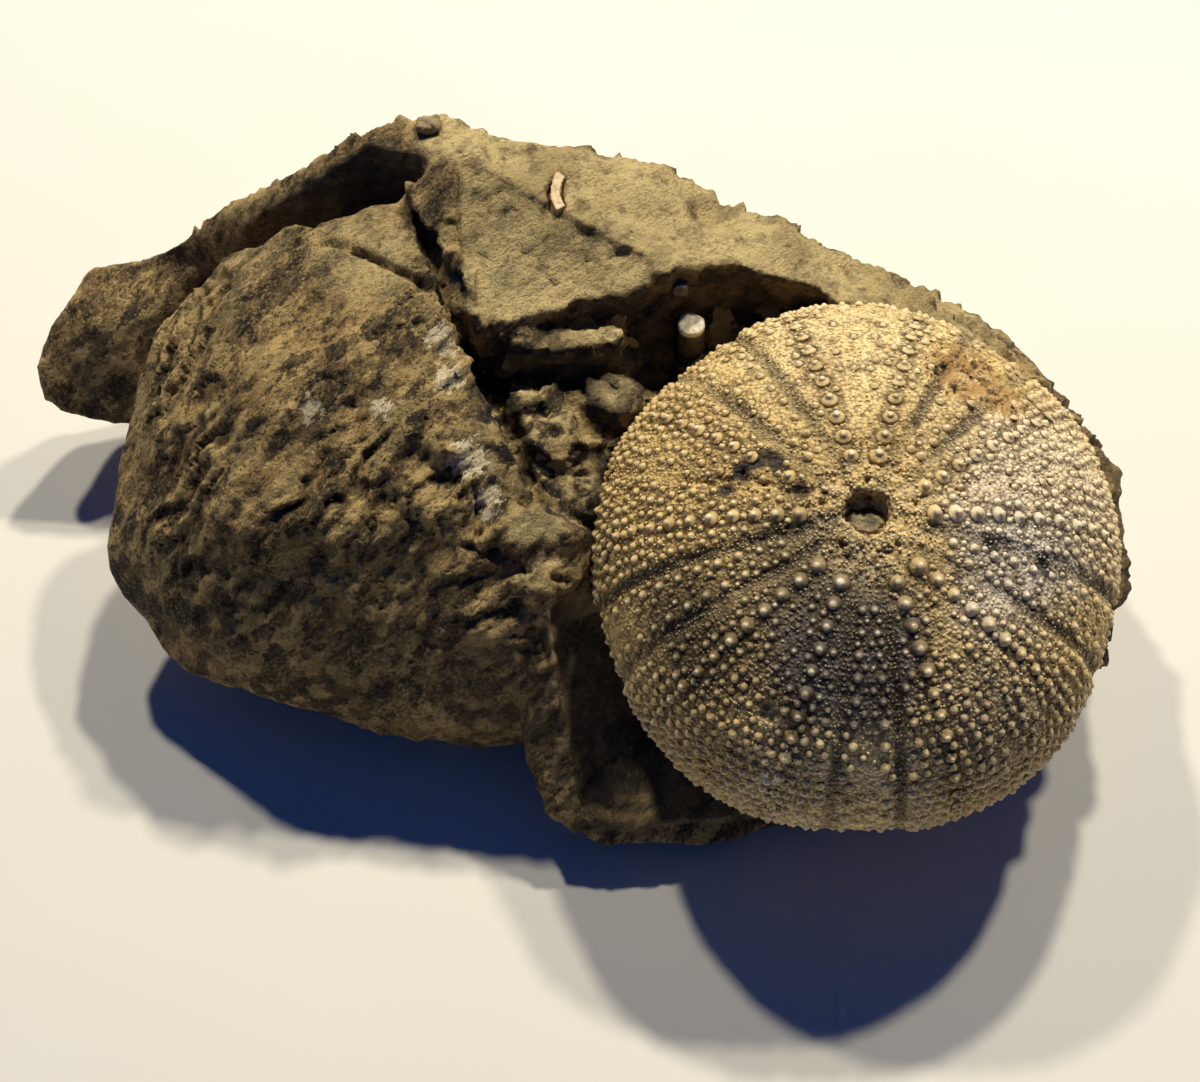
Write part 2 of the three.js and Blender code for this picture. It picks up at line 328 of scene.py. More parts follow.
def shader_group(name, inputs, outputs):
    """An empty shader node group with named inputs and outputs."""
    tree = bpy.data.node_groups.new(name, "ShaderNodeTree")
    for label, kind, value in inputs:
        socket = tree.interface.new_socket(label, in_out="INPUT", socket_type=kind)
        if value is not None:
            socket.default_value = value
    for label, kind in outputs:
        tree.interface.new_socket(label, in_out="OUTPUT", socket_type=kind)
    wired = Tree(tree)
    return wired, wired.add("NodeGroupInput").outputs, wired.add("NodeGroupOutput").inputs


def stone_grain_group():
    """Mottled colour, height and roughness of weathered mudstone, from fine grit to broad stains."""
    if "stone_grain" in bpy.data.node_groups:
        return bpy.data.node_groups["stone_grain"]
    inputs = [
        ("Position", "NodeSocketVector", None),
        ("Light", "NodeSocketColor", (0.3, 0.22, 0.12, 1.0)),
        ("Middle", "NodeSocketColor", (0.16, 0.115, 0.065, 1.0)),
        ("Dark", "NodeSocketColor", (0.05, 0.038, 0.028, 1.0)),
        ("Patch Size", "NodeSocketFloat", 12.0),
        ("Grit Size", "NodeSocketFloat", 0.7),
    ]
    outputs = [("Color", "NodeSocketColor"), ("Height", "NodeSocketFloat"), ("Fine", "NodeSocketFloat")]
    wired, given, result = shader_group("stone_grain", inputs, outputs)
    place = given["Position"]
    broad = wired.noise(place, wired.math("DIVIDE", 1.0, given["Patch Size"]), 5.0, 0.62, 0.2).outputs[0]
    small = wired.noise(place, wired.math("DIVIDE", 4.2, given["Patch Size"]), 4.0, 0.6, 0.0).outputs[0]
    grit = wired.noise(place, wired.math("DIVIDE", 1.0, given["Grit Size"]), 3.0, 0.7).outputs[0]
    pits = wired.cells(place, wired.math("DIVIDE", 0.55, given["Grit Size"])).outputs["Distance"]
    base = wired.tint(wired.span(broad, 0.36, 0.62), given["Middle"], given["Light"])
    base = wired.tint(wired.span(small, 0.52, 0.72, 0.0, 0.85), base, given["Dark"])
    base = wired.tint(wired.span(grit, 0.58, 0.74, 0.0, 0.5), base, given["Light"])
    base = wired.tint(wired.span(grit, 0.42, 0.28, 0.0, 0.6), base, given["Dark"])
    height = wired.total(wired.times(small, 0.55), wired.times(grit, 0.35),
                         wired.times(pits, 0.25))
    wired.tree.links.new(base, result["Color"])
    wired.tree.links.new(height, result["Height"])
    wired.tree.links.new(grit, result["Fine"])
    return wired.tree


def new_material(name):
    """A material with its Principled shader, and the position in millimetres that its patterns read."""
    material = bpy.data.materials.new(name)
    material.use_nodes = True
    wired = Tree(material.node_tree)
    shader = material.node_tree.nodes["Principled BSDF"]
    place = wired.add("ShaderNodeTexCoord").outputs["Object"]
    return material, wired, shader, wired.scale(place, 1.0 / MM)


def grain(wired, place, light, middle, dark, patch, grit):
    made = wired.add("ShaderNodeGroup", node_tree=stone_grain_group())
    for label, value in (("Light", light), ("Middle", middle), ("Dark", dark),
                         ("Patch Size", patch), ("Grit Size", grit)):
        made.inputs[label].default_value = (*value, 1.0) if isinstance(value, tuple) else value
    wired.tree.links.new(place, made.inputs["Position"])
    return made.outputs


def bump(wired, shader, height, strength, depth):
    made = wired.add("ShaderNodeBump", {"Height": height, "Strength": strength, "Distance": depth * MM})
    wired.tree.links.new(made.outputs["Normal"], shader.inputs["Normal"])


# Colours of the stone: light, middle and dark of each kind, then what lies over them. The fresh colours also
# serve as painted shade.
SANDY = ((0.78, 0.60, 0.27), (0.50, 0.375, 0.165), (0.11, 0.074, 0.034))
BROWN = ((0.37, 0.235, 0.088), (0.155, 0.098, 0.038), (0.026, 0.017, 0.009))
FRESH_AND_SHADE = ((0.13, 0.098, 0.056), (0.055, 0.044, 0.031), (0.013, 0.011, 0.010))
# The four pale and dark pairs below are painted highlight and painted shade: on raised and sunk crust and
# grit, and on random cells of flakes and shards.
LIT_CRUST, SHADED_CRUST = (0.72, 0.49, 0.19, 1.0), (0.016, 0.0115, 0.008, 1.0)
LIT_FLAKE, SHADED_FLAKE = (0.62, 0.45, 0.18, 1.0), (0.016, 0.012, 0.008, 1.0)
LIT_SHARD, SHADED_SHARD = (0.60, 0.43, 0.165, 1.0), (0.014, 0.011, 0.009, 1.0)
LIT_GRIT, SHADED_GRIT = (0.60, 0.44, 0.18, 1.0), (0.012, 0.009, 0.006, 1.0)
LIP_BROWN = (0.36, 0.27, 0.14, 1.0)
CHALK = (0.84, 0.70, 0.44, 1.0)


def rock_material():
    """Brown mudstone, sandy on its tops, dark where it broke, under crust, flakes, grit and chalk. Its sandy
    tops include painted light, its dark includes painted shade, and the pale and dark crust, flakes, shards
    and grit are painted highlight and painted shade.
    """
    material, wired, shader, place = new_material("mudstone")
    drawn = along_ridges(wired, place, 2.0)
    sandy = grain(wired, place, *SANDY, 13.0, 0.55)
    brown = grain(wired, drawn, *BROWN, 15.0, 0.6)
    fresh = grain(wired, place, *FRESH_AND_SHADE, 9.0, 0.5)
    # broken reads the mask of fresh stone, which also holds painted shade in the hollow and the recess.
    labels = ("relief", "top", "fresh", "white", "lip", "hollow")
    relief, top, broken, white, lip, hollow = [wired.read(label) for label in labels]
    # Where the painted highlight and shade of crust, flakes and grit show: less on the sandy tops and on
    # fresh stone.
    worn = wired.times(wired.rest(wired.times(top, 0.6)), wired.rest(wired.times(broken, 0.75)))

    crust = wired.noise(along_ridges(wired, place, 1.9), 0.36, 8.0, 0.72).outputs[0]
    # Painted highlight where relief and crust rise, painted shade where they sink.
    raised_highlight = wired.most(wired.span(relief, 0.3, 1.3, 0.0, 0.7), wired.span(crust, 0.53, 0.59, 0.0, 0.75))
    sunk_shade = wired.most(wired.span(relief, -0.2, -1.1, 0.0, 0.9), wired.span(crust, 0.47, 0.41, 0.0, 0.85))

    # Flake cells are painted at random as lit and as shaded chips; shard cells in the hollow the same.
    stray = wired.stray(place, 3.4, 0.7, 5.0, 0.7)
    flake = wired.cells(wired.vector("ADD", along_ridges(wired, place, 2.4), stray), 0.4).outputs["Color"]
    flake = wired.add("ShaderNodeSeparateColor", {0: flake}).outputs[0]
    _, depth, _ = wired.parts(place)
    shown = wired.times(worn, wired.span(depth, 32.0, 44.0, 0.5, 0.15))
    shard = wired.cells(wired.vector("ADD", place, stray), 0.3).outputs["Color"]
    shard = wired.add("ShaderNodeSeparateColor", {0: shard}).outputs[1]

    # Fine grit painted pale where its bump rises and dark where it sinks: painted highlight and painted
    # shade.
    crisp = wired.noise(along_ridges(wired, place, 1.5), 1.9, 4.0, 0.72).outputs[0]
    thick = wired.span(wired.noise(place, 0.12, 3.0).outputs[0], 0.38, 0.6, 0.45, 1.0)
    crisp_reach = wired.times(worn, thick)
    chalk = wired.total(wired.times(white, 0.25), wired.noise(drawn, 0.9, 6.0, 0.75).outputs[0])

    color = wired.paint(
        wired.tint(top, brown["Color"], sandy["Color"]),
        (broken, fresh["Color"]),
        (wired.times(raised_highlight, worn), LIT_CRUST),
        (wired.times(sunk_shade, worn), SHADED_CRUST),
        (wired.times(wired.span(flake, 0.72, 0.78), shown), LIT_FLAKE),
        (wired.times(wired.span(flake, 0.28, 0.2), wired.times(shown, 1.4)), SHADED_FLAKE),
        (wired.times(hollow, wired.span(shard, 0.66, 0.7, 0.0, 0.75)), LIT_SHARD),
        (wired.times(hollow, wired.span(shard, 0.52, 0.46, 0.0, 0.85)), SHADED_SHARD),
        (wired.times(wired.span(crisp, 0.55, 0.61, 0.0, 0.6), crisp_reach), LIT_GRIT),
        (wired.times(wired.span(crisp, 0.45, 0.4, 0.0, 0.8), crisp_reach), SHADED_GRIT),
        (wired.times(lip, 0.35), LIP_BROWN),
        (wired.times(wired.span(chalk, 0.64, 0.7, 0.0, 0.95), wired.span(white, 0.02, 0.2)), CHALK),
    )
    wired.tree.links.new(color, shader.inputs["Base Color"])
    wired.tree.links.new(wired.span(brown["Fine"], 0.3, 0.7, 0.55, 0.85), shader.inputs["Roughness"])
    shader.inputs["Specular IOR Level"].default_value = 0.3
    height = wired.total(brown["Height"], wired.times(crust, 1.6), wired.times(crisp, 1.1))
    bump(wired, shader, height, 1.0, 0.7)
    return material


# Colour zones of the test, two of them painted light: centre, full reach, fading reach, strength and colour.
TONE_AND_LIGHT_ZONES = [
    ((43.0, 14.0, 57.0), 6.0, 26.0, 0.75, (0.95, 0.74, 0.38)),
    ((14.0, -8.0, 45.0), 8.0, 24.0, 0.6, (0.60, 0.40, 0.135)),
    # Painted light: the right flank, brightened where the right lamp lights it.
    ((69.0, -10.0, 51.0), 8.0, 22.0, 0.8, (1.0, 0.83, 0.56)),
    ((40.0, -37.0, 50.0), 7.0, 20.0, 0.92, (0.092, 0.088, 0.092)),
    ((19.0, -31.0, 47.0), 3.0, 14.0, 0.88, (0.07, 0.05, 0.03)),
    ((66.0, -24.0, 53.0), 4.0, 16.0, 0.7, (0.72, 0.65, 0.56)),
    ((62.0, -40.0, 42.0), 4.0, 13.0, 0.6, (0.46, 0.39, 0.27)),
    # Painted reflection: the underside rim, brightened where light from the table reaches it.
    ((40.0, -54.0, 32.0), 9.0, 22.0, 0.95, (1.0, 0.78, 0.39)),
    ((33.0, -24.0, 56.0), 3.0, 11.0, 0.7, (0.15, 0.112, 0.065)),
]


# Colours that lie over the calcite of the test. The colours round and at the foot of the knobs are painted
# shade, with grime.
PORE_DARK = (0.028, 0.02, 0.012, 1.0)
KNOB_SHADE_AND_GRIME = (0.07, 0.045, 0.018, 1.0)
BEAD_LIGHT = (1.9, 1.8, 1.7, 1.0)
BEAD_GAP = (0.06, 0.04, 0.018, 1.0)
PORE_GRANULE = (0.50, 0.38, 0.21, 1.0)
PALE_PLATE, DARK_PLATE = (0.78, 0.64, 0.4, 1.0), (0.05, 0.036, 0.018, 1.0)
KNOB_FOOT_SHADE_AND_GRIME = (0.07, 0.048, 0.022, 1.0)
WORN_KNOB, PALE_KNOB = (0.52, 0.35, 0.145, 1.0), (0.86, 0.78, 0.6, 1.0)
RUST = (0.42, 0.235, 0.075, 1.0)
DARK_MARK = (0.018, 0.016, 0.015, 1.0)
FLECK_WHITE = (0.95, 0.92, 0.84, 1.0)
FLECK_PLACE = (30.3, -49.7, 36.9)


def test_material(name, crown, bed):
    """Calcite of the test. Crown and bed are its colours on the knobs and between them."""
    material, wired, shader, place = new_material(name)
    labels = ("tip", "pores", "rust", "dirt", "shade", "glow", "around", "disc")
    high, pores, rust, dirt, shade, glow, around, plates = [wired.read(label) for label in labels]
    stone = grain(wired, place, (1.0, 1.0, 1.0), (0.8, 0.77, 0.73), (0.3, 0.245, 0.18), 9.0, 0.42)
    strayed = wired.vector("ADD", place, wired.stray(place, 16.0, 1.0 / 9.0, 4.0, 0.6))
    color = (*bed, 1.0)
    for centre, inner, outer, strength, zone in TONE_AND_LIGHT_ZONES:
        mask = wired.times(wired.near(strayed, centre, inner, outer), strength)
        color = wired.tint(mask, color, (*zone, 1.0))
    color = wired.tint(1.0, color, stone["Color"], "MULTIPLY")

    speck = wired.cells(place, 1.1).outputs["Distance"]
    specks = wired.span(speck, 0.3, 0.15, 0.0, 0.2)
    holes = wired.total(wired.times(pores, 0.8), wired.times(pores, specks))
    # Painted shade, with grime, round the feet of the knobs, in patches.
    shade_and_grime_spread = wired.span(wired.noise(place, 0.5, 4.0, 0.65).outputs[0], 0.35, 0.6, 0.5, 1.0)
    color = wired.paint(color, (wired.math("MINIMUM", holes, 0.95), PORE_DARK),
                        (wired.times(around, shade_and_grime_spread), KNOB_SHADE_AND_GRIME))

    bead = wired.cells(place, 1.7).outputs["Distance"]
    open_bed = wired.span(high, 0.0, 0.03, 1.0, 0.0)
    grained = wired.times(wired.span(bead, 0.42, 0.2, 0.0, 0.35), open_bed)
    granule = wired.times(pores, wired.span(bead, 0.36, 0.18, 0.0, 0.75), open_bed)
    mottle = wired.noise(place, 0.8, 5.0, 0.7, 0.6).outputs[0]
    # A dark ring at the foot of each knob: painted shade, with some grime.
    foot = wired.times(wired.span(high, 0.16, 0.02), wired.span(high, 0.0, 0.004))
    knob = wired.paint((*crown, 1.0), (wired.times(shade, 0.7), WORN_KNOB),
                       (wired.span(stone["Fine"], 0.55, 0.7, 0.0, 0.4), PALE_KNOB))
    fleck = wired.times(wired.near(place, FLECK_PLACE, 0.6, 1.8),
                        wired.span(wired.noise(place, 1.3, 3.0).outputs[0], 0.5, 0.56))
    color = wired.paint(
        color,
        (grained, wired.tint(1.0, color, BEAD_LIGHT, "MULTIPLY")),
        (wired.times(wired.span(bead, 0.5, 0.72, 0.0, 0.5), open_bed), BEAD_GAP),
        (granule, PORE_GRANULE),
        (wired.times(plates, wired.span(mottle, 0.52, 0.62, 0.0, 0.75)), PALE_PLATE),
        (wired.times(plates, wired.span(mottle, 0.47, 0.38, 0.0, 0.85)), DARK_PLATE),
        (wired.times(foot, 0.45), KNOB_FOOT_SHADE_AND_GRIME),
        (wired.times(wired.span(high, 0.25, 0.95, 0.0, 0.9), glow), knob),
        (wired.times(rust, 0.85), RUST),
        (wired.times(dirt, 0.92), DARK_MARK),
        (fleck, FLECK_WHITE),
    )
    wired.tree.links.new(color, shader.inputs["Base Color"])
    matt = wired.span(stone["Fine"], 0.3, 0.7, 0.5, 0.75)
    polished = wired.span(high, 0.3, 0.8)
    wired.tree.links.new(wired.mix(polished, matt, 0.24), shader.inputs["Roughness"])
    wired.tree.links.new(wired.span(high, 0.3, 0.8, 0.22, 0.65), shader.inputs["Specular IOR Level"])
    beads = wired.times(bead, open_bed, -0.8)
    bump(wired, shader, wired.total(stone["Height"], beads), 0.9, 0.35)
    return material


def plain_stone_material(name, light, middle, dark, patch, grit, roughness):
    material, wired, shader, place = new_material(name)
    stone = grain(wired, place, light, middle, dark, patch, grit)
    wired.tree.links.new(stone["Color"], shader.inputs["Base Color"])
    wired.tree.links.new(wired.span(stone["Fine"], 0.3, 0.7, roughness - 0.1, roughness + 0.1),
                         shader.inputs["Roughness"])
    bump(wired, shader, stone["Height"], 0.5, 0.2)
    return material


# ---- the rock ---------------------------------------------------------------

# Places on the rock are in millimetres in the object's frame.
CRACKS = [
    [(-47, 32, 54), (-41, 31, 57), (-35, 30, 58.5), (-30, 27.5, 59), (-24, 24, 59), (-19, 21, 58),
     (-16, 17, 56)],
    [(-16, 19, 55), (-13, 15, 52), (-10.5, 10, 48), (-9, 5, 45), (-7, 0, 43), (-4, -5, 42), (0, -9, 41)],
    [(-12, 12, 49), (-15, 7, 52), (-16, 0, 50), (-13, -6, 46), (-12, -12, 42)],
    [(-16.5, 38, 64), (-16, 30, 60), (-14.5, 20, 57)],
    [(-14, -13, 41), (-7, -16, 39.5), (1, -17, 37)],
]

# Lumps and hollows: centre, full reach, fading reach and height, in millimetres.
DENTS = [
    ((-22, -4, 50), 1.0, 4.5, -1.8),
    ((-17.5, -5.5, 48.5), 1.0, 4.5, -2.0),
    ((-9, 31.5, 63.0), 0.3, 2.6, -1.6),
    ((-38, 18, 57), 1.0, 8.0, -1.3),
    ((-27, 17, 58), 1.0, 6.0, -1.0),
    ((-47, 24, 54), 1.0, 9.0, 1.8),
    ((-46, 4, 51), 1.0, 8.0, 1.6),
    ((-31, 9, 57), 1.0, 7.0, 1.6),
    ((-33, -12, 44), 1.0, 8.0, 1.6),
    ((-50, -8, 40), 1.0, 9.0, 1.5),
    ((-24, -18, 38), 1.0, 8.0, -1.6),
    ((-42, -20, 30), 1.0, 9.0, 1.4),
    ((3.6, 31.2, 61.6), 0.3, 1.9, 1.2),
    ((1.5, 43, 60.5), 1.0, 6.0, 1.5),
    ((14, 42, 57.5), 2.0, 9.0, 1.3),
    ((23, 38, 55), 1.0, 5.0, -1.3),
    ((34, 34.5, 51.5), 1.5, 6.0, 1.2),
    ((44, 31, 49), 1.0, 5.0, -0.9),
    ((-9, 43, 64.5), 1.0, 6.0, -1.0),
    ((-13, 42, 66), 0.5, 3.5, 0.9),
]

# Chalky patches on the lobe: centre, full reach and fading reach, in millimetres.
CHALKY = [
    ((-37.0, 3.7, 52.5), 0.5, 3.6),
    ((-26.5, 3.5, 53.5), 0.5, 3.6),
    ((-14.0, -2.5, 49.0), 1.0, 5.5),
    ((-11.0, -8.0, 45.0), 0.5, 4.5),
    ((-17.8, 14.0, 56.0), 1.0, 4.5),
    ((-16.6, 8.5, 54.5), 1.0, 4.5),
]


def slab(name, corners):
    """A convex block round corners given in millimetres."""
    mesh = bpy.data.meshes.new(name)
    mesh.from_pydata([Vector(corner) * MM for corner in corners], [], [])
    thing = pick(put_in_scene(name, mesh))
    bpy.ops.object.mode_set(mode="EDIT")
    bpy.ops.mesh.select_all(action="SELECT")
    bpy.ops.mesh.convex_hull()
    bpy.ops.mesh.normals_make_consistent(inside=False)
    bpy.ops.object.mode_set(mode="OBJECT")
    return thing


def cut_away(thing, cutter):
    """Takes a cutter's volume out of an object and throws the cutter away."""
    cut = thing.modifiers.new("cut", "BOOLEAN")
    cut.operation = "DIFFERENCE"
    cut.solver = "EXACT"
    cut.object = cutter
    apply_all(thing)
    discard(cutter)
    return thing


def join(first, *others):
    pick(first)
    for other in others:
        other.select_set(True)
    bpy.ops.object.join()
    return first


def right_flank():
    """The stone that shows past the right side of the test."""
    edge = [(50, 44), (57, 40), (64, 36), (71, 31.5), (78.5, 21), (83, 13), (86.5, 6), (87, -3), (86.5, -14),
            (82, -25), (78.5, -33), (72, -40), (63, -45)]
    upper = [(x, y, 30.0) for x, y in edge]
    shoulder = [(x * 0.93, y * 0.9 + 1.0, 38.0) for x, y in edge[:6]]
    lower = [(x * 0.9, y * 0.86, 13.0) for x, y in edge]
    block = slab("right_flank", upper + shoulder + lower)
    hollow = start_from("urchin_test", "hollow")
    grow = hollow.modifiers.new("grow", "DISPLACE")
    grow.strength = 0.4 * MM
    grow.mid_level = 0.0
    return cut_away(block, apply_all(hollow))


def spur():
    """The slanting face between the lobe and the flat facet."""
    return slab("spur", [(-14.6, 39.5, 65.6), (-13.2, 17.6, 57.9), (-22.5, 38.5, 57), (-18.6, 19, 53.5),
                         (-10, 39, 48), (-9, 20, 44), (-20, 36, 46), (-17, 20, 44)])


# Corners of the tops of the broken blocks in the hollow, and how deep each reaches.
LEDGES = [
    ([(-8.8, 17.6, 53.8), (-3.0, 17.8, 53.6), (3.6, 18.2, 53.2), (9.0, 18.6, 52.4), (8.6, 15.8, 51.8),
      (3.2, 14.6, 52.4), (-1.4, 13.9, 52.8), (-7.8, 14.8, 53.2)], 12.0),
    ([(3.0, 12.4, 48.2), (9.0, 13.6, 47.2), (13.0, 12.4, 45.2), (10.8, 8.0, 44.0), (4.4, 8.0, 46.2)], 9.0),
    ([(-4.2, 6.0, 47.4), (1.6, 6.4, 46.6), (3.6, 2.8, 45.2), (-0.6, -0.6, 44.6), (-4.8, 1.8, 46.4)], 8.0),
    ([(1.4, -2.0, 42.6), (6.2, -2.8, 42.0), (5.4, -7.6, 40.2), (0.8, -6.8, 41.2)], 8.0),
    ([(-12.4, -13.6, 43.6), (-8.0, -9.8, 45.0), (-3.0, -8.8, 44.8), (4.2, -9.6, 40.0), (3.6, -12.2, 38.6),
      (-4.0, -14.2, 41.4)], 6.0),
    ([(-8.6, -18.2, 39.4), (-4.0, -14.4, 40.2), (3.4, -13.2, 38.0), (3.4, -16.8, 36.6), (-3.0, -20.0, 37.6)],
     6.0),
]


def ledge_blocks():
    return [slab("ledge", top + [(x, y, z - depth) for x, y, z in top]) for top, depth in LEDGES]


# The cutters reach up to here, above all of the stone.
CUTTER_TOP = 80.0


def facet_cutter():
    """Takes a shallow step off the front of the crest, leaving the slanting facet below its edge."""
    ridge = [(-15.5, 40.2), (14, 26.8)]
    front = [(-16, 12), (12, 12)]
    low = [(x, y, 47.2 - 0.076 * x + 0.424 * y) for x, y in ridge + front]
    return slab("facet_cutter", low + [(x, y, CUTTER_TOP) for x, y in ridge + front])


def trench_cutter():
    """Opens the dark gap between the crest's front edge and the test."""
    edge = [(17, 25.8), (27, 28.4), (38, 26.8), (47, 22.5)]
    front = [(17, 8), (47, 8)]
    return slab("trench_cutter", [(x, y, z) for z in (43.5, CUTTER_TOP) for x, y in edge + front])


def ridged(wired, place, size, height):
    """Height of folded noise with sharp crests."""
    fac = wired.noise(place, 1.0 / size, 2.0, 0.55).outputs[0]
    fold = wired.math("ABSOLUTE", wired.math("SUBTRACT", fac, 0.5))
    return wired.times(wired.math("SUBTRACT", 0.12, fold), 7.0 * height)


def ledges(wired, place, thickness, height, stray):
    """Height of thin layers that break off one after the other, each with a sharp edge."""
    across = wired.math("DIVIDE", wired.vector("DOT_PRODUCT", place, RIDGE_ACROSS), thickness)
    level = wired.total(across, wired.rough(place, 13.0, stray, 2.0), wired.rough(place, 4.0, 0.45, 3.0, 0.6))
    share = wired.math("FRACT", level)
    rise = wired.times(share, wired.span(share, 0.8, 0.99, 1.0, 0.0))
    return wired.times(wired.math("SUBTRACT", rise, 0.35), height)


def eased_normal(wired, steps):
    """The surface direction averaged over its neighbours."""
    eased = wired.add("GeometryNodeBlurAttribute", {"Iterations": steps}, data_type="FLOAT_VECTOR")
    given = [socket for socket in eased.inputs if socket.enabled and socket.type == "VECTOR"][0]
    wired.tree.links.new(wired.add("GeometryNodeInputNormal").outputs[0], given)
    result = [socket for socket in eased.outputs if socket.enabled][0]
    return wired.vector("NORMALIZE", result)


def rock_regions(wired, place, facing):
    """Masks over the lump: calm top, flat facet, broken hollow, scooped front, recess darkened as painted
    shade, and smooth end.
    """
    level = wired.vector("DOT_PRODUCT", place, (0.26, 0.0, 0.965))
    across, back, high = wired.parts(place)
    _, backward, skyward = wired.parts(facing)
    upward = wired.span(skyward, 0.6, 0.8)
    top = wired.times(wired.span(level, 49.5, 52.0), wired.span(across, -16.5, -14.5),
                      wired.span(across, 64.0, 72.0, 1.0, 0.0))
    # The crest strip joins the sandy top as painted light; the sandy top holds only where the surface faces
    # up.
    crest = wired.times(wired.span(level, 57.5, 59.5), wired.span(back, 38.0, 40.5))
    top = wired.times(wired.most(top, crest), upward)
    ridge = wired.total(wired.times(across, 0.455), back)
    facet = wired.times(wired.span(ridge, 33.2, 34.0, 1.0, 0.0), wired.span(back, 15.0, 18.0), top,
                        wired.span(across, 12.0, 16.0, 1.0, 0.0))
    hollow = wired.most(wired.near(place, (1.0, 6.0, 43.0), 14.0, 20.0),
                        wired.near(place, (16.0, 20.0, 48.0), 12.0, 17.0),
                        wired.near(place, (34.0, 24.0, 48.0), 9.0, 13.0))
    hollow = wired.times(hollow, wired.rest(top))
    below = wired.most(wired.math("SUBTRACT", 36.0, high), 0.0)
    sweep = wired.times(below, below, -0.0075)
    side = wired.total(across, 1.5, sweep, wired.rough(place, 7.0, 1.3), wired.rough(place, 1.8, 0.4))
    bottom = wired.total(wired.math("SUBTRACT", high, 8.6), wired.rough(place, 5.0, 1.2))
    inward = wired.math("SMOOTH_MIN", side, bottom, 5.0)
    plate = wired.times(wired.span(back, -16.0, -20.0), wired.span(high, 34.0, 39.0, 1.0, 0.0))
    scoop = wired.times(wired.span(inward, -0.2, 0.8), plate)
    off_lip = wired.math("ABSOLUTE", wired.math("ADD", inward, 0.2))
    lip = wired.times(wired.span(off_lip, 0.2, 0.8, 1.0, 0.0), plate)
    # The recess: a wall turned away from the lamps below the left part of the crest, darkened with the fresh
    # colours as painted shade.
    wall = wired.span(backward, -0.35, -0.65)
    recess = wired.times(wall, wired.span(back, 35.0, 38.5), wired.span(across, -49.0, -40.0),
                         wired.span(across, -17.5, -14.5, 1.0, 0.0))
    end = wired.span(across, -66.0, -61.0, 1.0, 0.0)
    return top, facet, hollow, scoop, recess, end, lip, upward


def calm_places(wired, place, backward, top, scoop, recess, knob):
    """Mask of where the stone is smooth: its top, the scoop, the recess, the far knob and the shoulders."""
    shoulder = wired.most(wired.near(place, (-30.0, 27.0, 59.0), 5.0, 14.0),
                          wired.near(place, (-46.0, 22.0, 54.0), 3.0, 12.0))
    _, back, _ = wired.parts(place)
    ridge_line = wired.times(wired.span(back, 30.0, 38.0, 0.0, 0.7),
                             wired.span(backward, 0.45, 0.75, 1.0, 0.0))
    return wired.most(top, scoop, recess, wired.times(knob, 0.65), wired.times(shoulder, 0.75), ridge_line)


def chalky_places(wired, place):
    return wired.total(*[wired.near(place, centre, inner, outer) for centre, inner, outer in CHALKY])


